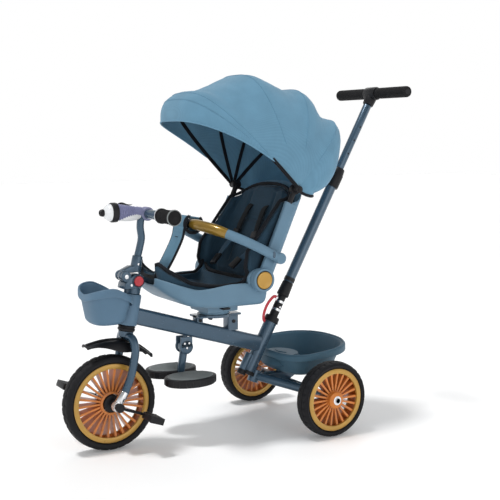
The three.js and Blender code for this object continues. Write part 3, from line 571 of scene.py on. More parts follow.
# ---- wheels ----
def tyre(name, body, node, x, y, radius, width, rim):
    """A rubber tyre with a ribbed middle, shoulder blocks and rounded side walls."""
    half = width / 2
    flat = half - 7
    rows = [(-half + 9, rim - 2, 0), (-half + 5.5, rim + 1, 0), (-half + 2, rim + 4, 0)]
    rows += [
        (-half + 0.3, rim + 10, 0), (-half + 0.8, radius - 10, 0), (-half + 3.4, radius - 5, 0)
    ]
    for share, cut in (
        (-1, 2), (-0.7, 2), (-0.42, 2), (-0.39, 1), (-0.3, 1), (-0.27, 0), (-0.06, 0), (-0.03, 1)
    ):
        rows.append((flat * share, radius - 2.2 * share * share, cut))
    rows += [(-a, r, cut) for a, r, cut in reversed(rows)]
    turns = 160
    verts = []
    for a, r, cut in rows:
        for i in range(turns):
            depth = 2.0 if cut == 1 or (cut == 2 and (i + (2 if a > 0 else 0)) % 5 == 0) else 0.0
            angle = 2 * math.pi * i / turns
            verts.append(
                at(x + a, y + (r - depth) * math.cos(angle), radius + (r - depth) * math.sin(angle))
            )
    return piece(name, (verts, grid_faces(len(rows), turns, loop=True)), TYRE, body, node, angle=32)


def blades(x, y, z, inner, outer, count, half):
    parts = []
    for i in range(count):
        turn = 2 * math.pi * i / count
        out = Vector((0, math.cos(turn), math.sin(turn)))
        side = Vector((0, -math.sin(turn), math.cos(turn)))
        verts = []
        for r, thick in ((inner, 2.4), ((inner + outer) / 2, 2.6), (outer, 3.4)):
            deep = half if r < outer else half + 2
            for sx, st in ((-1, -1), (1, -1), (1, 1), (-1, 1)):
                verts.append(at(x + sx * deep, y, z) + (out * r + side * st * thick) * MM)
        faces = [
            (a + b, a + (b + 1) % 4, a + 4 + (b + 1) % 4, a + 4 + b)
            for a in (0, 4) for b in range(4)
        ]
        parts.append((verts, faces + [(0, 1, 2, 3), (8, 9, 10, 11)]))
    return together(*parts)


def wheel(prefix, body, x, y, radius, width, rim, count, hub):
    tyre(prefix + "_tread", body, prefix + "_tyre", x, y, radius, width, rim)
    half = width / 2
    z = radius
    bands = []
    for s in SIDES:
        loop = [(half - 9, rim - 15), (half - 4, rim - 14), (half - 2.2, rim - 9)]
        loop += [(half - 2.4, rim - 4), (half - 4.5, rim - 0.5), (half - 9, rim - 1.5)]
        loop = ring_profile([(s * a, r) for a, r in loop])
        bands.append(turned(loop, at(x, y, z), ALONG_X, 96))
    piece(prefix + "_gold_band", bands, GOLD, body, slot="orange", angle=50)
    shoulder = half - 8
    barrel = [(-shoulder, rim - 2), (shoulder, rim - 2), (shoulder, rim - 12), (0, rim - 7)]
    barrel = ring_profile([*barrel, (-shoulder, rim - 12)])
    middle = [(-18, hub - 5), (-17, hub + 1), (17, hub + 1), (18, hub - 5), (8, hub - 6)]
    middle = ring_profile([*middle, (-8, hub - 6)])
    turned_parts = [
        turned(barrel, at(x, y, z), ALONG_X, 96), turned(middle, at(x, y, z), ALONG_X, 64)
    ]
    body_mesh = together(*turned_parts, blades(x, y, z, hub - 1, rim - 9, count, 14))
    piece(prefix + "_bladed_rim", body_mesh, ORANGE, body, prefix + "_rim")


wheel("front", "front_wheel", 0, *FRONT_AXLE, 48, 108.5, 26, 31)
wheel("rear_left", "left_wheel", 215, *REAR_AXLE, 50, 89, 22, 24)
wheel("rear_right", "right_wheel", -215, *REAR_AXLE, 50, 89, 22, 24)
hub_parts = [across(-23, 23, *FRONT_AXLE, 24, 48, 4), across(-38, 38, *FRONT_AXLE, 11, 32, 1)]
piece("front_hub", hub_parts, BLACK, "front_wheel")
for s, side in NAMED_SIDES:
    x = s * 215
    face = [(0, 14), (2, 22), (5, 24), (12, 23), (16, 19), (17.5, 12), (18, 7.6)]
    cap = turned([(18 + a * 0.6, r) for a, r in face], at(x, *REAR_AXLE), Vector((s, 0, 0)), 48)
    piece(
        f"rear_{side}_hub_disc", cap, ORANGE, f"{side}_wheel", f"rear_{side}_hub_cap", slot="black"
    )
    nut = together(
        across(x + s * 27, x + s * 30, *REAR_AXLE, 13, 40, 0.8),
        across(x + s * 29, x + s * 33, *REAR_AXLE, 8.5, 6, 0.6),
    )
    piece(f"rear_{side}_axle_nut", nut, CHROME, "frame", angle=30)
frame["nodes"]["rear_axle"].data.materials.clear()
frame["nodes"]["rear_axle"].data.materials.append(CHROME)

# ---- cranks and pedals ----
shaft = [across(-76, 76, *FRONT_AXLE, 7, 24)]
arms = []
for s in SIDES:
    shaft.append(across(s * 56, s * 63, *FRONT_AXLE, 14, 40, 1.5))
    shaft.append(across(s * 63, s * 68, *FRONT_AXLE, 11, 6, 0.6))
    tip = at(s * 74, s * 78, 130 - s * 30)
    outline = rounded(7.5, 3.5, 2.5)
    bends = [at(s * 71, s * 20, 130 - s * 7.7), at(s * 73, s * 55, 130 - s * 21)]
    path = curve([at(s * 70, *FRONT_AXLE), *bends, tip], 12)
    arms.append(swept(path, [(b, a) for a, b in outline], up=ALONG_X))
    arms.append(across(s * 69, s * 79, s * 78, 130 - s * 30, 10, 24, 2))
    arms.append(across(s * 66, s * 77, *FRONT_AXLE, 12.5, 28, 2))
    shaft.append(across(s * 78, s * 137, s * 78, 130 - s * 30, 4, 16))
piece("crank_shaft", shaft, CHROME, "front_wheel", "crankset")
piece("crank_arms", arms, BLACK, "front_wheel")


def pedal(side, s):
    x, y, z = s * 110, s * 78, 130 - s * 30
    parts = [block(x - 26, x + 26, y - 21, y + 21, z - 6, z + 6)]
    for k in range(-2, 3):
        parts.append(block(x - 24, x + 24, y + k * 9 - 2.2, y + k * 9 + 2.2, z - 8.6, z + 8.6))
    for end in (-1, 1):
        parts.append(block(x + end * 25 - 2.5, x + end * 25 + 2.5, y - 20, y + 20, z - 9, z + 9))
    verts, faces = together(*parts)
    turn = Matrix.Rotation(math.radians(-20), 3, "X")
    centre = at(x, y, z)
    verts = [centre + turn @ (v - centre) for v in verts]
    piece(
        f"pedal_block_{side}", (verts, faces), BLACK, f"{side}_pedal", f"pedal_{side}", angle=30,
        bevel=1.2 * MM,
    )


pedal("left", 1)
pedal("right", -1)

# ---- fork, mudguard, fold joint ----
legs = []
for s in SIDES:
    points = [
        at(s * 5, 50, 308), at(s * 38, 54, 303), at(s * 50, 56, 276), at(s * 50, 52, 245),
        at(s * 50, 42, 205),
    ]
    legs.append(tube([*points, at(s * 50, 22, 160), at(s * 50, 6, 140)], 11, 48, 24))
crown = on_steerer([(-24, 12), (-20, 20), (-6, 21), (-4.5, 16)], 40)
steerer = rod(steer(-22), steer(128), 12, 32)
piece("fork_tubes", [*legs, crown, steerer], SLATE, "steering", "fork")
ends = []
for s in SIDES:
    ends.append(across(s * 44, s * 56, *FRONT_AXLE, 15, 40, 3))
    ends.append(rod(at(s * 50, 4, 136), at(s * 50, 24, 166), 12.4, 32, 1.5, 11.6))
piece("fork_end_cups", ends, CHROME, "steering")


def guard_blade(u, v):
    a = 2 * u - 1
    along = math.radians(-23 + 69 * v)
    middle = 1 - abs(2 * v - 1) ** 2
    half = 20 + 14 * middle
    drop = (6 + 22 * middle**3) * a**4
    radius = 170 - drop + 4 * max(0, 1 - v * 5)
    return at(half * a, radius * math.sin(along), 130 + radius * math.cos(along))


shell_of("mudguard_blade", surface(guard_blade, 24, 48), BLACK, "steering", "mudguard", 3.2, -1)
tips = []
for v in (0.01, 0.99):
    tips.append(tube([guard_blade(u, v) for u in (0.02, 0.2, 0.5, 0.8, 0.98)], 3.6, 24, 12))
ridge = [guard_blade(0.5, v) + UP * (2 * MM) for v in (0.02, 0.25, 0.5, 0.75, 0.98)]
rib = tube(ridge, 3.0, 40, 12)
piece("mudguard_ribs", [*tips, rib], BLACK, "steering", angle=60)

outline = [(38, 436), (42, 452), (56, 466), (72, 474), (88, 474), (94, 462), (92, 448), (90, 436)]
piece(
    "fold_bracket_body", plate(outline, -24, 24), SLATE, "steering", "fold_bracket", angle=30,
    bevel=3 * MM,
)
lugs = both(13.5, 24, *FOLD_PIVOT, 14, 40, 2)
sleeve = on_steerer([(96, 20), (98, 22), (126, 22), (128, 20)], 40)
piece("fold_bracket_lugs", [*lugs, sleeve], SLATE, "steering")
rivets = both(23, 25.4, *FOLD_PIVOT, 6, 20, 1)
rivets += both(23, 25, 60, 446, 3.6, 16, 0.8)
piece("fold_bracket_rivets", rivets, CHROME, "steering")
button = turned_across(
    [(19, 13), (19, 14), (26, 14), (28.4, 12.6), (29, 9), (28.2, 6), (28.4, 0)], (80, 456), 48
)
piece("fold_release_button", button, RED, "fold_release", "fold_button", angle=50)
bezel = ring_profile([(19, 14.6), (27, 14.6), (28.5, 15.6), (27, 17), (19, 17)])
piece("fold_button_bezel", turned_across(bezel, (80, 456), 48), SLATE, "steering", angle=50)

# ---- head tube, beam, socket ----
head = on_steerer([(10, 18), (11, 20), (97, 20), (98, 18), (98, 13)], 48)
piece("head_tube_body", head, SLATE, "frame", "head_tube")
cup = [
    (-5, 14), (-5, 21), (-3.5, 23.5), (2, 24), (3, 22.4), (6, 22.4), (7, 24), (9, 23.6), (9.6, 20)
]
piece("headset_cup_body", on_steerer(cup, 48), BLACK, "frame", "headset_cup")

slope = math.atan2(236 - 364, 480 - 62)
beam_up = Vector((0, -math.sin(slope), math.cos(slope)))


def beam_point(y):
    return at(0, y, 364 + (y - 62) * math.tan(slope))


beam = swept(
    [beam_point(64), beam_point(200), beam_point(340), beam_point(470)], rounded(18, 23, 9, 6),
    up=beam_up,
)
piece("main_beam_tube", beam, SLATE, "frame", "main_beam")
socket_axis = pole(297) - pole(160)
socket = turned(
    [(-2, 17), (0, 19), (socket_axis.length / MM, 19), (socket_axis.length / MM, 15)], pole(160),
    socket_axis, 48,
)
latch = rod(pole(166, 24), pole(212, 24), 12, 32, 2)
saddle = rod(pole(170, 12), pole(206, 12), 13, 32, 2)
piece("pole_socket_tube", [socket, latch, saddle], SLATE, "frame", "pole_socket")
cap = [(0, 14.6), (0, 22), (2, 22.6), (5, 21.4), (15, 21.6), (18, 20), (18, 14.6)]
piece("socket_top_cap", turned(cap, pole(297.6), socket_axis, 48), BLACK, "frame", "socket_cap")
feet = [rod(pole(150), pole(160), 20.4, 40, 2), rod(pole(154, 24), pole(167, 24), 13, 32, 2)]
piece("socket_feet", feet, BLACK, "frame")

# ---- rear fork ----
bottom_y = 865 + (160 - 934) * math.tan(POLE_TILT)
arms = []
for s in SIDES:
    route = [
        at(0, bottom_y + 22, 143), at(s * 60, bottom_y + 62, 132), at(s * 130, 556, 116),
        at(s * 178, *REAR_AXLE),
    ]
    arms.append(tube(route, 13, 40, 24))
arms.append(across(-176, 176, *REAR_AXLE, 13, 32, 2))
arms.append(rod(at(0, bottom_y + 12, 126), at(0, bottom_y + 26, 160), 16, 32, 2))
piece("rear_fork_tubes", arms, SLATE, "frame", "rear_fork")
stay = plate([(490, 125), (572, 118), (622, 146), (490, 146)], -14, 14)
piece("basket_stay", stay, SLATE, "frame", angle=30, bevel=2.5 * MM)
piece("axle_end_cups", both(172, 186, *REAR_AXLE, 15, 32, 3), BLACK, "frame")


# ---- baskets ----
def rear_tub(u, v):
    angle = u * 2 * math.pi
    sharp = ramp([(-0.2, 0.62), (0.2, 0.85)], math.sin(angle))
    depth = 104 if math.sin(angle) < 0 else 138
    size = ramp([(0, 0.02), (0.35, 0.66), (0.45, 0.74), (0.8, 0.92), (0.9, 1), (1, 1.0)], v)
    rise = ramp([(0, 0), (0.35, 0), (0.45, 0.12), (0.8, 1), (0.9, 1), (1, 0.76)], v)
    x = 150 * size * power(math.cos(angle), sharp)
    y = depth * size * power(math.sin(angle), sharp)
    return at(x, 603 + y, 152 + (70 + 0.08 * y) * rise)


shell_of("rear_basket_tub", surface(rear_tub, 96, 40, True), DEEP, "frame", "rear_basket", 2.8)
ridges = []
for k, reach in enumerate((20, 32, 44)):
    arc = []
    for i in range(9):
        a = math.radians(200 + 140 * i / 8)
        arc.append(at(reach * 1.5 * math.cos(a), 560 + reach * math.sin(a) * 0.85, 206 - k * 7))
    ridges.append(tube(arc, 2.6, 32, 12))
step = [(0, 0), (0, 30), (2, 44), (10, 48), (22, 56), (30, 60)]
dome = turned([(-a, r) for a, r in step], at(0, 556, 206), UP, 48, 1.25)
piece("rear_basket_step", [dome, *ridges], DEEP, "frame", angle=50)
lip = []
for i in range(60):
    lip.append(rear_tub(i / 60, 0.86) + Vector((0, 0, 0.0015)))
piece("rear_basket_rim", tube([*lip, lip[0]], 3.2, 120, 12), DEEP, "frame", angle=60)


def front_tub(u, v):
    angle = u * 2 * math.pi
    size = ramp([(0, 0.02), (0.3, 0.6), (0.42, 0.72), (0.84, 0.94), (0.92, 1), (1, 1)], v)
    rise = ramp([(0, 0), (0.3, 0), (0.42, 0.1), (0.84, 1), (0.92, 1), (1, 0.8)], v)
    x = 82 * size * power(math.cos(angle), 0.72)
    y = -7 + 62 * size * power(math.sin(angle), 0.72)
    rim = 426 + 22 * (abs(x) / 82) ** 1.5 - 0.45 * max(0, y + 12)
    return at(x, y - 6 * (1 - size), 350 + (rim - 350) * rise)


shell_of("front_basket_tub", surface(front_tub, 96, 40, True), BASKET, "frame", "front_basket", 2.6)
shroud = on_steerer([(12, 20.6), (12, 25), (15, 27), (92, 27), (96, 25), (96, 20.6)], 48)
neck = block(-22, 22, 24, 48, 354, 402)
piece("front_basket_shroud", shroud, BASKET, "frame")
piece("front_basket_neck", neck, BASKET, "frame", angle=30, bevel=5 * MM)
lip = [front_tub(i / 60, 0.88) + Vector((0, 0, 0.0012)) for i in range(60)]
piece("front_basket_rim", tube([*lip, lip[0]], 2.8, 120, 12), BASKET, "frame", angle=60)

# ---- handlebar and lamp ----
stem_path = in_middle(
    (84, 492), (88, 515), (96, 545), (101, 570), (98, 598), (101, 620), (114, 632)
)
stem_post = tube(stem_path, 10, 60, 28)
stem_sleeve = rod(at(0, 81, 479), at(0, 89.5, 522), 15.5, 40, 2.5, 14)
knuckle = plate(
    [(42, 476), (60, 478.4), (88, 478.4), (92, 490), (84, 497), (62, 496), (40, 486)], -12.5, 12.5
)
piece("stem_post", [stem_post, stem_sleeve], SLATE, "handlebars", "stem")
piece("stem_knuckle", knuckle, SLATE, "handlebars", angle=30, bevel=2.5 * MM)
piece("stem_pivot", across(-12.5, 12.5, *FOLD_PIVOT, 13, 40, 1), SLATE, "handlebars")
pin = both(13, 16.4, 85, 500, 3.4, 16, 1)
piece("stem_pins", pin, CHROME, "handlebars")
bar = across(-166, 166, *HANDLEBAR, 12.5, 40, 2)
piece("handlebar_tube", bar, SLATE, "handlebars", "handlebar")
for s, side in NAMED_SIDES:
    ribs = [(92, 12.6), (92, 19), (93, 20.2), (98, 20.2), (99.5, 17.5)]
    for k in range(11):
        a = 101 + k * 5.0
        ribs += [(a, 17.6), (a + 0.6, 18.4), (a + 2.6, 18.4), (a + 3.2, 17.6), (a + 4.0, 16.6)]
    ribs += [
        (157, 17), (159, 20.5), (166, 21), (168, 19.5), (168, 16.5), (167.2, 16), (167.2, 5),
        (167.8, 4), (167.8, 0),
    ]
    grip = turned_across(ribs, HANDLEBAR, 56, s)
    piece(f"grip_rubber_{side}", grip, FOAM, "handlebars", f"grip_{side}")
    ring = ring_profile([(86, 12.6), (86, 19), (88, 20.4), (91, 20.4), (91.8, 19), (91.8, 12.6)])
    ring = turned_across(ring, HANDLEBAR, 56, s)
    piece(f"grip_ring_{side}", ring, CHROME, "handlebars")
    halo = ring_profile([(166.4, 18.8), (168.6, 19.2), (168.6, 20.8), (166.4, 21.4)])
    halo = turned_across(halo, HANDLEBAR, 56, s)
    piece(f"grip_end_ring_{side}", halo, GREY, "handlebars", slot="chrome")

forward = Vector((0, -1, 0))
lamp = [(-4, 0), (-4, 9), (-1, 12.4), (14, 13.6)]
for k in range(8):
    a = 18 + k * 6.2
    r = 14 + (a - 18) * 0.17
    lamp += [(a, r - 0.9), (a + 0.8, r + 0.5), (a + 3.6, r + 1.0), (a + 4.6, r - 0.4)]
lamp += [(69, 22), (71, 23.4), (71, 0)]
lamp_body = turned(lamp, at(0, *LAMP), forward, 56)
piece("headlamp_cowl", lamp_body, LILAC, "handlebars", "headlamp_body")
lamp_ring = ring_profile([(70, 22), (71, 25.6), (74, 26.3), (85, 26.3), (88, 24.8), (88, 21)])
piece("headlamp_ring", turned(lamp_ring, at(0, *LAMP), forward, 56), BLACK, "handlebars")
belly = []
for j in range(13):
    a = math.pi * j / 12
    belly.append((40 - 40 * math.cos(a), 14 * math.sin(a) ** 0.7))
piece(
    "headlamp_belly", turned(belly, at(0, 102, 630), forward, 40), WHITE, "handlebars",
    slot="lilac", angle=50,
)
clamp = ring_profile([(-12, 12.7), (-12, 17), (-10, 18.6), (10, 18.6), (12, 17), (12, 12.7)])
piece("headlamp_clamp", turned_across(clamp, HANDLEBAR, 40), LILAC, "handlebars")
lens = [
    (87, 21), (88.4, 23), (92, 22.6), (97, 20), (102, 16.5), (105, 12.5), (107, 9), (110, 8.4),
    (110, 0),
]
piece(
    "headlamp_glass", turned(lens, at(0, *LAMP), forward, 56), LENS, "handlebars", "headlamp_lens",
    angle=50,
)
flutes = []
for i in range(12):
    a = 2 * math.pi * i / 12
    r0, r1 = 21.4, 12.0
    inner = at(r1 * math.cos(a), LAMP[0] - 105, LAMP[1] + r1 * math.sin(a))
    outer = at(r0 * math.cos(a), LAMP[0] - 93.5, LAMP[1] + r0 * math.sin(a))
    flutes.append(rod(outer, inner, 1.5, 10, 0.5, 0.8))
piece("headlamp_flutes", flutes, WHITE, "handlebars", angle=50)
knob = [
    (107, 9.4), (109, 10.2), (112, 9.6), (115, 8.6), (117.6, 7), (118, 4.6), (116.4, 3.8),
    (116.4, 0),
]
piece("headlamp_knob", turned(knob, at(0, *LAMP), forward, 40), BLACK, "handlebars", slot="clear")


# ---- seat ----
def seat_half(y):
    return ramp([(110, 34), (125, 78), (160, 120), (230, 148), (300, 149), (420, 149)], y)


def seat_floor(y):
    return ramp([(110, 450), (135, 424), (190, 390), (260, 380), (420, 380)], y)


def seat_side(y):
    return ramp([(110, 468), (150, 452), (200, 436), (290, 447), (340, 447), (420, 424)], y)


def eased(f, y, reach=10):
    """f averaged over a short stretch, so that its corners are soft."""
    return sum(f(y + reach * k / 4) for k in range(-4, 5)) / 9


def seat_tub(u, v):
    y = 114 + 290 * min(v / 0.88, 1)
    up = 42 * max(0, v - 0.88) / 0.12
    a = 2 * u - 1
    x = eased(seat_half, y) * power(math.sin(a * math.pi / 2), 0.8)
    floor = eased(seat_floor, y) + up
    rise = abs(a) ** 6
    return at(x, y + up * 0.05, floor + max(0, eased(seat_side, y) - floor) * rise)


shell_of("seat_tub", surface(seat_tub, 48, 44), SHELL, "seat", "seat_shell", 5)
ears = both(138, 149.6, 381, 450, 33, 48, 3)
piece("seat_ears", ears, SHELL, "seat")
flat_plate = swept([at(0, 276, 363), at(0, 372, 363)], rounded(52, 10.5, 6), up=UP)
turret = turned([(0, 42), (0, 43), (2, 44), (8, 44), (9, 43)], at(0, 324, 344), UP, 56)
piece("swivel_plate_body", [flat_plate, turret], SHELL, "seat", "swivel_plate")
lever = swept([at(36, 325, 365), at(56, 325, 365), at(72, 325, 365)], rounded(12, 2.8, 2.4), up=UP)
piece("swivel_lever_tab", lever, BLACK, "swivel_release", "swivel_lever")

pedestal_parts = [
    turned([(-8, 46), (-8, 48), (-0.4, 48), (-0.4, 46)], at(0, 324, 343.6), UP, 56),
    swept([at(0, 272, 318), at(0, 272, 341)], rounded(15, 10, 4), up=Vector((0, 1, 0))),
    swept([at(0, 379, 290), at(0, 379, 341)], rounded(17, 17, 5), up=Vector((0, 1, 0))),
    swept([at(0, 262, 338.6), at(0, 396, 338.6)], rounded(30, 3, 2), up=UP),
]
piece("pedestal_body", pedestal_parts, SLATE, "frame", "seat_pedestal")
bolts = both(15, 18.5, 272, 328, 5, 6, 0.8)
bolts += both(17, 20.5, 379, 316, 5.5, 6, 0.8)
bolts += both(14, 30, 300, 333, 4.5, 20, 2)
piece("pedestal_bolts", bolts, BLACK, "frame")


# ---- padded liner: cloth blown up a little and settled ----
CLOTH_FRAMES = 20
CLOTH_REACH = 7 * MM
VOXEL = 5 * MM


def slab(front, rear, nu, nv):
    """A closed form between two surfaces over the same grid."""
    verts, faces = surface(front, nu, nv)
    other, more = surface(rear, nu, nv)
    n = len(verts)
    faces = faces + [tuple(n + i for i in face) for face in more]
    w = nu + 1
    edge = [i for i in range(w)] + [j * w + nu for j in range(1, nv + 1)]
    edge += [nv * w + i for i in range(nu - 1, -1, -1)] + [j * w for j in range(nv - 1, 0, -1)]
    faces += [(a, b, n + b, n + a) for a, b in zip(edge, edge[1:] + edge[:1])]
    return verts + other, faces


def seam_depth(p, seams):
    """How far seams pull a point in: each is a line of points, a width and a depth, in metres."""
    pull = 0.0
    for line, width, depth in seams:
        near = min((p - q).length for q in line)
        pull = max(pull, depth * math.exp(-((near / width) ** 2)))
    return pull


def cushion(name, middle, half_thick, nu, nv, body, node, seams):
    """A padded piece about a middle surface: remeshed, blown up a little as cloth, then seamed."""
    mesh = slab(offset(middle, half_thick), offset(middle, -half_thick), nu, nv)
    made = piece(name, mesh, NAVY, body, node, angle=180)
    made.parent = None
    made.matrix_world = Matrix.Identity(4)
    remesh = made.modifiers.new("voxels", "REMESH")
    remesh.mode = "VOXEL"
    remesh.voxel_size = VOXEL
    settle(made, 180)
    blow_up(made, CLOTH_REACH)
    finer = made.modifiers.new("finer", "SUBSURF")
    finer.levels = finer.render_levels = 1
    settle(made, 180)
    normals = [v.normal.copy() for v in made.data.vertices]
    for v, n in zip(made.data.vertices, normals):
        v.co -= n * seam_depth(v.co, seams)
    made.data.materials.clear()
    made.data.materials.append(NAVY)
    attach(made, body)


def blow_up(made, limit):
    """Cloth under pressure, with no point moved further than the limit."""
    before = [v.co.copy() for v in made.data.vertices]
    cloth = made.modifiers.new("cloth", "CLOTH")
    cloth.settings.use_pressure = True
    cloth.settings.uniform_pressure_force = 4
    cloth.settings.effector_weights.gravity = 0
    cloth.settings.tension_stiffness = 20
    cloth.settings.quality = 5
    cloth.point_cache.frame_start = 1
    cloth.point_cache.frame_end = CLOTH_FRAMES
    scene = bpy.context.scene
    for number in range(1, CLOTH_FRAMES + 1):
        scene.frame_set(number)
    graph = bpy.context.evaluated_depsgraph_get()
    after = [v.co.copy() for v in made.evaluated_get(graph).data.vertices]
    made.modifiers.clear()
    scene.frame_set(1)
    for vertex, old, new in zip(made.data.vertices, before, after):
        step = new - old
        if step.length > limit:
            step *= limit / step.length
        vertex.co = old + step


def offset(f, way):
    """The surface f moved along its own normal."""

    def moved(u, v):
        e = 0.01
        du = f(min(1, u + e), v) - f(max(0, u - e), v)
        dv = f(u, min(1, v + e)) - f(u, max(0, v - e))
        return f(u, v) + du.cross(dv).normalized() * (way * MM)

    return moved


def seat_middle(u, v):
    """The middle surface of the seat pad: its sides and its rear edge turn up."""
    a = 2 * u - 1
    y = 122 + 246 * v
    x = (eased(seat_half, y) - 16) * power(math.sin(a * math.pi / 2), 0.9)
    rise = 44 * max(0, (v - 0.84) / 0.16) ** 2
    rim = 40 * abs(a) ** 4.5 + rise - 5 * math.sin(math.pi * v) * abs(a) ** 2
    return at(x, y, eased(seat_floor, y) + 26 + rim)


front_seam = [at(x, 182, 424) for x in range(-104, 105, 4)]
seams = [(front_seam, 0.005, 0.004)]
for s in SIDES:
    run = [at(s * 46, y, 0) + UP * ((eased(seat_floor, y) + 34) * MM) for y in range(150, 330, 4)]
    seams.append((run, 0.005, 0.0035))
cushion("seat_cushion", seat_middle, 8, 36, 24, "seat", "seat_pad", seams)


def pad_edge(f, count=18):
    """Points round the outside of a pad's grid."""
    ring = [f(i / count, 0.0) for i in range(count)] + [f(1.0, i / count) for i in range(count)]
    return ring + [f(1 - i / count, 1.0) for i in range(count)] + [
        f(0.0, 1 - i / count) for i in range(count)
    ]


loop = pad_edge(seat_middle)
piece(
    "seat_cushion_piping", tube([*loop, loop[0]], 5.0, 160, 14), PIPING, "seat", slot="navy",
    angle=60,
)


def back_middle(u, v):
    """The middle surface of the back pad, whose wings come forward round the child's hips."""
    a = 2 * u - 1
    h = -12 + 235 * v + 62 * (1 - a * a) * v**3
    wing = ramp([(-12, 40), (14, 68), (60, 80), (126, 62), (200, 44), (250, 30)], h)
    return back(135 * power(math.sin(a * math.pi / 2), 0.9), h, 17 - wing * abs(a) ** 4.5)


centre_seams = [[back(s * 62, h, 2) for h in range(40, 250, 4)] for s in SIDES]
waist_seam = [back(x, 92, 2) for x in range(-64, 65, 4)]
shoulder_seam = [back(x, 168, 2) for x in range(-64, 65, 4)]
seams = [(line, 0.0055, 0.004) for line in (*centre_seams, waist_seam, shoulder_seam)]
cushion("back_cushion", back_middle, 7, 40, 28, "backrest", "back_pad", seams)
loop = pad_edge(back_middle, 24)
piece(
    "back_cushion_piping", tube([*loop, loop[0]], 4.6, 200, 14), PIPING, "backrest", slot="navy",
    angle=60,
)

# ---- harness ----
def strap(name, points, width, thick, material, body, up):
    mesh = swept(curve(points, 40), rounded(width / 2, thick / 2, thick * 0.45, 3), up=up)
    piece(name, mesh, material, body, angle=50)


BACK_NORMAL = Vector((0, -math.cos(BACK_TILT), math.sin(BACK_TILT)))
for s, side in NAMED_SIDES:
    route = [
        back(s * 40, 214, 6), back(s * 42, 200, -3), back(s * 45, 170, -6), back(s * 49, 140, -7),
        back(s * 52, 118, -5),
    ]
    strap(f"shoulder_strap_{side}", route, 22, 2.4, WEB, "backrest", BACK_NORMAL)
    route = [
        back(s * 52, 120, -6), back(s * 60, 92, -12), back(s * 66, 60, -20), back(s * 58, 34, -30)
    ]
    strap(f"lap_strap_{side}", route, 25, 2.6, STEEL_BLUE, "backrest", BACK_NORMAL)
    clip = swept(
        curve([back(s * 50, 128, -8), back(s * 53, 108, -9)], 6), rounded(14, 4, 3), up=BACK_NORMAL
    )
    piece(f"strap_buckle_{side}", clip, BLACK, "backrest", bevel=0.8 * MM)
    pad = swept(
        curve([back(s * 58, 40, -31), back(s * 52, 8, -44)], 8), rounded(13, 4.5, 3.5),
        up=BACK_NORMAL,
    )
    piece(f"hip_buckle_{side}", pad, BLACK, "backrest")
belt = in_middle((262, 418), (240, 424), (214, 428), (190, 432))
strap("seat_strap", belt, 26, 2.6, WEB, "seat", UP)


# ---- backrest shell ----
def back_panel(u, v):
    a = 2 * u - 1
    h = 16 + 209 * v + 78 * (1 - a * a) * v**3
    x = 158 * power(math.sin(a * math.pi / 2), 0.85)
    return back(x, h, 34 - 36 * abs(a) ** 8)


shell_of("back_panel", surface(back_panel, 48, 32), SHELL, "backrest", "back_shell", 4.5)
for s, side in NAMED_SIDES:
    run = [
        back(s * 157.5, -6, 0), back(s * 157.5, 60, 0), back(s * 157.5, 150, 0),
        back(s * 157.5, 224, 0),
    ]
    band = swept(curve(run, 24), [(b, a) for a, b in rounded(6.5, 17, 4, 4)], up=Vector((s, 0, 0)))
    piece(f"side_band_{side}", band, SHELL, "backrest")
    disc = [
        (151, 30), (151, 33), (168, 33), (170.6, 31.6), (171, 29), (170.4, 25.4), (159.6, 25),
        (159.6, 0),
    ]
    disc = turned_across(disc, RECLINE_PIVOT, 72, s)
    piece(f"hinge_disc_{side}", disc, SHELL, "backrest")
    face = [
        (163.6, 0), (163.6, 23.4), (171, 23.8), (173, 22.8), (174, 20), (173.4, 18.6), (173.8, 0)
    ]
    face = turned_across(face, RECLINE_PIVOT, 64, s)
    piece(f"recline_button_{side}", face, GOLD, f"{side}_recline_button", f"hinge_button_{side}")
    dark = ring_profile([(163.6, 24.2), (170.9, 24.2), (171.4, 25), (170.6, 25.8), (163.6, 25.8)])
    dark = turned_across(dark, RECLINE_PIVOT, 64, s)
    piece(f"button_shadow_ring_{side}", dark, BLACK, "backrest")
    pivot = [
        across(s * 152, s * 163.5, *CANOPY_PIVOT, 15, 40, 2),
        across(s * 163, s * 187, *CANOPY_PIVOT, 5, 20, 1),
    ]
    pivot.append(rod(back(s * 157, 222, -3), at(s * 157, *CANOPY_PIVOT), 7.5, 20, 2))
    piece(f"canopy_pivot_{side}", pivot, BLACK, "backrest")

# ---- guard rail ----
def arm(s):
    return [
        at(s * 180, 432, 510), at(s * 180, 396, 528), at(s * 180, 364, 544), at(s * 166, 318, 567),
        at(s * 122, 274, 589),
    ]


whole = [*arm(1), at(60, 250, 600), at(0, 243, 603), at(-60, 250, 600), *reversed(arm(-1))]
path = curve(whole, 120)


def stretch(first, last):
    return path[first : last + 1]


arms = [swept(stretch(0, 42), circle(13, 28)), swept(stretch(78, 120), circle(13, 28))]
hubs = both(167, 193, *GUARD_PIVOT, 15.5, 40, 3)
piece("guard_arms", [*arms, *hubs], SHELL, "guard", "guard_rail")
middle = swept(stretch(50, 70), circle(12.6, 28))
piece("guard_middle", middle, BLACK, "guard")
for s, side, part in ((1, "left", (32, 55)), (-1, "right", (65, 88))):
    swell = lambda t: 1 + 0.12 * min(1, 6 * t, 6 * (1 - t))
    sleeve = swept(stretch(*part), circle(13.4, 32), swell=swell)
    piece(f"guard_sleeve_{side}", sleeve, BRASS, "guard", angle=50)
    spot = at(s * 192.2, 404, 524)
    ring = swept(
        [spot + Vector((s * -0.001, 0, 0)), spot + Vector((s * 0.0014, 0, 0))], circle(9, 28, 0.45)
    )
    piece(f"guard_badge_{side}", ring, SLATE, "guard", slot="shell")

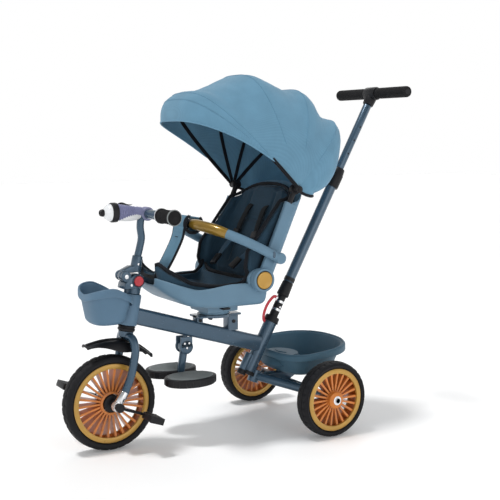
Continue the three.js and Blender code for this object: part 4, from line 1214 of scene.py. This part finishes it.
# ---- crotch strap ----
wrap_path = []
for k in range(25):
    a = math.radians(118 + 282 * k / 24)
    wrap_path.append(at(0, 243 + 27 * math.cos(a), 603 + 25 * math.sin(a)))
drop = in_middle((227, 618), (217, 594), (209, 562), (184, 514), (163, 480), (152, 460))
strap_mesh = swept(curve(drop, 48), rounded(31, 3.2, 2.8, 4), up=Vector((0, -1, 0.3)))
piece("crotch_strap_cloth", strap_mesh, PALE, "guard", "crotch_strap", angle=50)
for s, side in NAMED_SIDES:
    edge = [p + Vector((s * 0.0305, 0, 0)) for p in curve(drop, 48)]
    piece(f"strap_edge_{side}", tube(edge, 3.4, 60, 12), PIPING, "guard", angle=60)
    edge = [p + Vector((s * 0.0315, 0, 0)) for p in wrap_path]
    piece(f"strap_wrap_edge_{side}", tube(edge, 4.2, 48, 12), PIPING, "guard", angle=60)


def wrap_sheet(u, v):
    k = v * 24
    i = min(int(k), 23)
    p = wrap_path[i].lerp(wrap_path[i + 1], k - i)
    return p + Vector(((2 * u - 1) * 0.031, 0, 0))


shell_of("strap_wrap", surface(wrap_sheet, 8, 36), PALE, "guard", None, 5)
low_end = []
for k in range(17):
    a = math.pi * k / 16
    low_end.append(at(31 * math.cos(a), 150 + 1.5 * math.sin(a), 458 - 14 * math.sin(a)))
piece("strap_end_edge", tube(low_end, 3.4, 32, 12), PIPING, "guard", angle=60)
stitch = [at(x, 211, 566) + Vector((0, -0.0042, 0.0012)) for x in range(-8, 9, 4)]
piece("strap_stitch", tube(stitch, 0.9, 12, 8), PIPING, "guard", angle=60)

# ---- canopy ----
# Each hoop's lean back from upright, its reach and its half width.
HOOPS = [(-45, 370, 186), (-17.2, 329, 181), (14.5, 287, 176), (45, 274, 171)]
# How far out the cloth lies over the middle, as (angle, reach), from the front hoop to the hem.
CREASES = [
    (-45, 370), (-43, 365), (-39.5, 345), (-34, 334), (-28, 328), (-22, 328), (-17.2, 329),
    (-14, 325), (-9, 308), (-3, 291), (3, 279), (8.5, 277), (14.5, 287), (18, 286), (23, 277),
    (28, 261), (33, 252), (38, 255), (45, 274), (49, 274), (54, 262), (61, 236), (75, 190),
    (88, 145), (100, 92), (130, 66),
]
HOOP_BODIES = ["canopy_hoop_1", "canopy_hoop_2", "canopy_hoop_3", "backrest"]


def bow(index):
    angle, reach, half = HOOPS[index]
    line = curve([hoop(angle, reach - 3.6, half - 3.4, i / 24) for i in range(25)], 96)
    lean = math.radians(angle)
    parts = [
        swept(line, rounded(1.1, 5.5, 1.0, 3), up=Vector((0, math.cos(lean), -math.sin(lean))))
    ]
    parts += [across(s * (half - 6), s * (half - 2), *CANOPY_PIVOT, 10, 32, 1) for s in SIDES]
    piece(f"hoop_{index + 1}_strip", parts, BLACK, HOOP_BODIES[index], f"canopy_bow_{index + 1}")


for index in range(4):
    bow(index)


def canopy_panel(a, b):
    """Cloth between two hoops: it is drawn in between them, most of all over the middle."""

    def f(u, v):
        angle, reach, half = (p + (q - p) * v for p, q in zip(a, b))
        t = 0.004 + 0.992 * u
        drawn = math.sin(math.pi * t) ** 0.4
        return hoop(angle, reach + (ramp(CREASES, angle) - reach) * drawn, half, t)

    return f


def cloth_sheet(name, f, nu, nv, body, node):
    made = piece(name, surface(f, nu, nv), CANOPY, body, angle=50)
    made.data.materials.append(LINING)
    thick = made.modifiers.new("thick", "SOLIDIFY")
    thick.thickness = 2.2 * MM
    thick.offset = -1
    thick.material_offset = 1
    settle(made, 50)
    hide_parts(node)
    return made


def area_of(f, nu, nv):
    total = 0.0
    for i in range(nu):
        for j in range(nv):
            a, b = f(i / nu, j / nv), f((i + 1) / nu, j / nv)
            c, d = f((i + 1) / nu, (j + 1) / nv), f(i / nu, (j + 1) / nv)
            total += ((b - a).cross(d - a).length + (b - c).cross(d - c).length) / 2
    return total


def declare_sheet(f, nu, nv):
    """Works out the flat cut: the middle lengths of the strip both ways, and its area; it neither
    returns nor keeps them.
    """
    wide = sum((f((i + 1) / nu, 0.5) - f(i / nu, 0.5)).length for i in range(nu))
    runs = []
    for u in (0.35, 0.5, 0.65):
        runs.append(sum((f(u, (j + 1) / nv) - f(u, j / nv)).length for j in range(nv)))
    long = max(runs)
    area = area_of(f, nu, nv)
    wide = max(wide, area / long * 1.02)


def unparent(made):
    """Takes a piece off its body and clears its body tag."""
    made.parent = None
    made.matrix_world = Matrix.Identity(4)
    if "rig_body" in made:
        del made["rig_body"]


pivot_point = at(0, *CANOPY_PIVOT)
CREST_HEIGHT = 0.2
BLEND_REACH = 0.055
for index in range(3):
    f = canopy_panel(HOOPS[index], HOOPS[index + 1])
    made = cloth_sheet(
        f"canopy_cloth_{index + 1}", f, 96, 24, HOOP_BODIES[index], f"canopy_panel_{index + 1}"
    )
    unparent(made)
    middle = math.radians((HOOPS[index][0] + HOOPS[index + 1][0]) / 2)
    rearward = Vector((0, math.cos(middle), -math.sin(middle)))
    crest = pivot_point + Vector((0, math.sin(middle), math.cos(middle))) * CREST_HEIGHT
    start, end = tuple(crest - rearward * BLEND_REACH), tuple(crest + rearward * BLEND_REACH)
    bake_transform(made)
    declare_sheet(f, 96, 24)


def visor_cloth(u, v):
    angle, reach, half = HOOPS[0]
    middle = max(0.0, math.sin(math.pi * u))
    ahead = (1 - v) * middle**0.6
    bow_out = 14 * math.sin(math.pi * v) * middle
    return hoop(angle - 13 * ahead, reach - 18 * ahead + bow_out, half, 0.07 + 0.86 * u)


visor = cloth_sheet("canopy_visor_cloth", visor_cloth, 96, 16, "canopy_hoop_1", "canopy_visor")
declare_sheet(visor_cloth, 96, 16)


def rear_cloth(u, v):
    angle, reach, half = HOOPS[3]
    t = 0.004 + 0.992 * u
    hem = 102 + 26 * (1 - math.sin(math.pi * t) ** 0.5)
    low = angle + (hem - angle) * v
    return hoop(low, ramp(CREASES, low), half, t, 0.8 - 0.4 * v)


rear = cloth_sheet("canopy_rear_cloth", rear_cloth, 96, 24, "backrest", "canopy_rear")
unparent(rear)
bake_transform(rear)
declare_sheet(rear_cloth, 96, 24)


def trim(name, points, radius, body, material=CANOPY):
    return piece(name, tube(points, radius, 120, 12), material, body, slot="canopy", angle=60)


trim("visor_hem", [visor_cloth(i / 60, 0.0) for i in range(61)], 2.4, "canopy_hoop_1")
rear_hem = trim("rear_hem", [rear_cloth(i / 60, 1.0) for i in range(61)], 4.2, "backrest", PIPING)
unparent(rear_hem)
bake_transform(rear_hem)
for number in (0, 1):
    lift = 0.35 + 0.03 * number
    row = [visor_cloth(0.1 + 0.8 * i / 60, 1 - lift) for i in range(61)]
    trim(f"visor_stitch_{number}", row, 0.8, "canopy_hoop_1")
for index in range(4):
    angle, reach, half = HOOPS[index]
    seam = [hoop(angle, reach + 0.3, half, 0.1 + 0.8 * i / 60) for i in range(61)]
    trim(f"hoop_seam_{index + 1}", seam, 1.0, HOOP_BODIES[index])
angle, reach, half = HOOPS[0]
for s, side in NAMED_SIDES:
    leg = [
        hoop(angle, reach + 1, half + 1, t if s > 0 else 1 - t)
        for t in (0.004, 0.02, 0.04, 0.06, 0.08)
    ]
    trim(f"side_hem_{side}", leg, 3.2, "canopy_hoop_1", PIPING)

# ---- footrest ----
cheeks = both(11.6, 17, *FOOTREST_PIVOT, 20, 48, 1.5)
for s in SIDES:
    cheeks.append(
        swept(
            [at(s * 14.4, *FOOTREST_PIVOT), at(s * 14.4, 228, 286)], rounded(18, 2.6, 1.5),
            up=ALONG_X,
        )
    )
piece("footrest_mount", cheeks, SLATE, "frame", "footrest_bracket")
rivets = [
    across(s * 16.6, s * 19, 228 + dy, 262 + dz, 3.2, 16, 1)
    for s in SIDES for dy, dz in ((-7, 6), (7, 6), (0, -7))
]
piece("footrest_rivets", rivets, CHROME, "frame")
leg = [
    rod(at(0, *FOOTREST_PIVOT), at(0, 217, 186), 11, 32, 2),
    across(-11, 11, *FOOTREST_PIVOT, 17, 40, 1.5),
]
piece("footrest_leg", leg, SLATE, "footrests", slot="black")


def oval(centre_x, a, b, z0, z1, edge=3.0):
    """A flat oval pad with rounded edges."""
    profile = [
        (z0, 0), (z0, 0.94), (z0 + edge, 0.985), (z1 - edge, 1.0), (z1 - 0.3 * edge, 0.985),
        (z1, 0.96), (z1, 0),
    ]
    verts = []
    for z, k in profile:
        for i in range(64):
            t = 2 * math.pi * i / 64
            verts.append(at(centre_x + a * k * math.cos(t), 216 + b * k * math.sin(t), z))
    return verts, grid_faces(len(profile), 64)


rests, tops = [], []
for s in SIDES:
    rests.append(oval(s * 60, 54, 76, 165, 187))
    for k in range(24):
        t = 2 * math.pi * k / 24
        foot = at(s * 60 + 53 * math.cos(t), 216 + 74.8 * math.sin(t), 168)
        rests.append(rod(foot, foot + Vector((0, 0, 0.015)), 1.6, 10, 0.8))
    tops.append(oval(s * 60, 46, 67, 186, 188.4, 1.0))
    for k in range(-3, 4):
        half = 62 * math.sqrt(max(0, 1 - (k * 12 / 46) ** 2))
        line = [
            at(s * 60 + k * 12, 216 - half, 188.6), at(s * 60 + k * 12, 216, 188.6),
            at(s * 60 + k * 12, 216 + half, 188.6),
        ]
        tops.append(tube(line, 1.3, 8, 8))
rests.append(across(-60, 60, 216, 173, 7, 24, 1))
piece("footrest_pads", rests, BLACK, "footrests", "footrest")
piece("footrest_tops", tops, GREY, "footrests")

# ---- push pole ----
axis = (pole(500) - pole(400)).normalized()
root = [rod(pole(176), pole(440), 13, 36, 1.5), rod(pole(372), pole(411.4), 18.4, 40, 3, 16.5)]
piece("pole_plug", root, BLACK, "frame", "pole_root")
clips = []
for z in (330, 352):
    ring = ring_profile([(0, 13), (0, 14.4), (7, 14.4), (7, 13)])
    clips.append(turned(ring, pole(z), axis, 40))
for s in SIDES:
    clips.append(
        rod(
            pole(341) + Vector((s * 0.0125, 0, 0)), pole(341) + Vector((s * 0.0162, 0, 0)), 3.6,
            20, 1,
        )
    )
piece("pole_clips", clips, CHROME, "frame")
low = turned([(0, 14), (0, 15.5), (328, 15.5), (328, 13.6)], pole(412), axis, 48)
piece("pole_lower_tube", low, SLATE, "frame", "pole_lower")
seam_ring = ring_profile([(2, 15), (2, 16.3), (14, 16.3), (14, 15)])
piece("pole_lower_ferrule", turned(seam_ring, pole(412), axis, 48), BLACK, "frame")
grip_clamp = [
    (0, 15.9), (0, 19), (2, 20.6), (20, 21), (42, 21), (46, 19.6), (60, 18.4), (62.6, 17),
    (62.6, 13),
]
clamp = turned(grip_clamp, pole(690), axis, 48)
wing = swept([pole(700, 10), pole(735, 10)], rounded(9, 13, 5), up=Vector((0, 1, 0)))
piece("pole_clamp_body", [clamp, wing], BLACK, "frame", "pole_clamp")
lever = swept([pole(714, 24.4), pole(738, 27)], rounded(6, 3.2, 2.4), up=Vector((0, 1, 0)))
piece("pole_release_tab", lever, RED, "pole_release", "pole_lever")
high = rod(pole(622), pole(936), 12.6, 48, 1)
piece("pole_upper_tube", high, SLATE, "push_pole", "pole_upper")
# Black discs stand for the index holes in the upper pole: painted shade inside the holes.
hole_shade_discs = []
for z in (790, 830, 870):
    spot = pole(z) + Vector((0.0118, 0, 0))
    hole_shade_discs.append(rod(spot, spot + Vector((0.0012, 0, 0)), 3, 16, 0.5))
piece("pole_index_hole_shade", hole_shade_discs, BLACK, "push_pole", slot="slate")
handle = [
    rod(pole(937), at(0, 884, 968), 16.4, 40, 3, 18.5), across(-26, 26, *PUSH_HANDLE, 20, 48, 5)
]
handle.append(across(-154, 154, *PUSH_HANDLE, 10, 28, 1))
piece("push_handle_core", handle, BLACK, "push_pole", "push_handle")
for s, side in NAMED_SIDES:
    foam = [(28, 12), (28, 15), (31, 16.6), (40, 16)]
    for k in range(30):
        a = 42 + k * 3.9
        foam += [(a, 16.0), (a + 1.6, 16.5), (a + 3.2, 16.0)]
    foam += [(161, 16.2), (164.6, 15), (166, 12), (166, 0)]
    foam = turned_across(foam, PUSH_HANDLE, 56, s)
    piece(
        f"push_foam_{side}", foam, FOAM, "push_pole", f"push_grip_{side}", slot="rubber", angle=50
    )
    end = turned_across(
        [(s * 165, 0), (s * 165, 9), (s * 166.4, 8), (s * 166.6, 0)], PUSH_HANDLE, 32
    )
    piece(f"push_end_{side}", end, BLACK, "push_pole")
loop_line = [
    pole(368, 14), pole(372, 30), pole(352, 40), pole(326, 38), pole(306, 28), pole(300, 16)
]
piece(
    "red_pull_loop", swept(curve(loop_line, 40), rounded(4.5, 1.3, 1), up=ALONG_X), RED, "frame",
    angle=50,
)
piece(
    "pull_loop_ring", across(-4, 4, pole(368, 16).y / MM - AXLE_Y / MM, 366, 6, 24, 1), CHROME,
    "frame",
)

# ---- floor ----
bpy.ops.mesh.primitive_plane_add(size=30, location=(0, 0, 0))
floor = bpy.context.object
floor.name = "floor"
ground, tree, top, place = shader("pale_floor", 0.9)
tree.links.new(
    between(tree, noise(tree, place, 3), (0.93, 0.93, 0.93), (0.96, 0.96, 0.96)),
    top.inputs["Base Color"],
)
top.inputs["Emission Color"].default_value = (1, 1, 1, 1)
top.inputs["Emission Strength"].default_value = 0.09
floor.data.materials.append(ground)
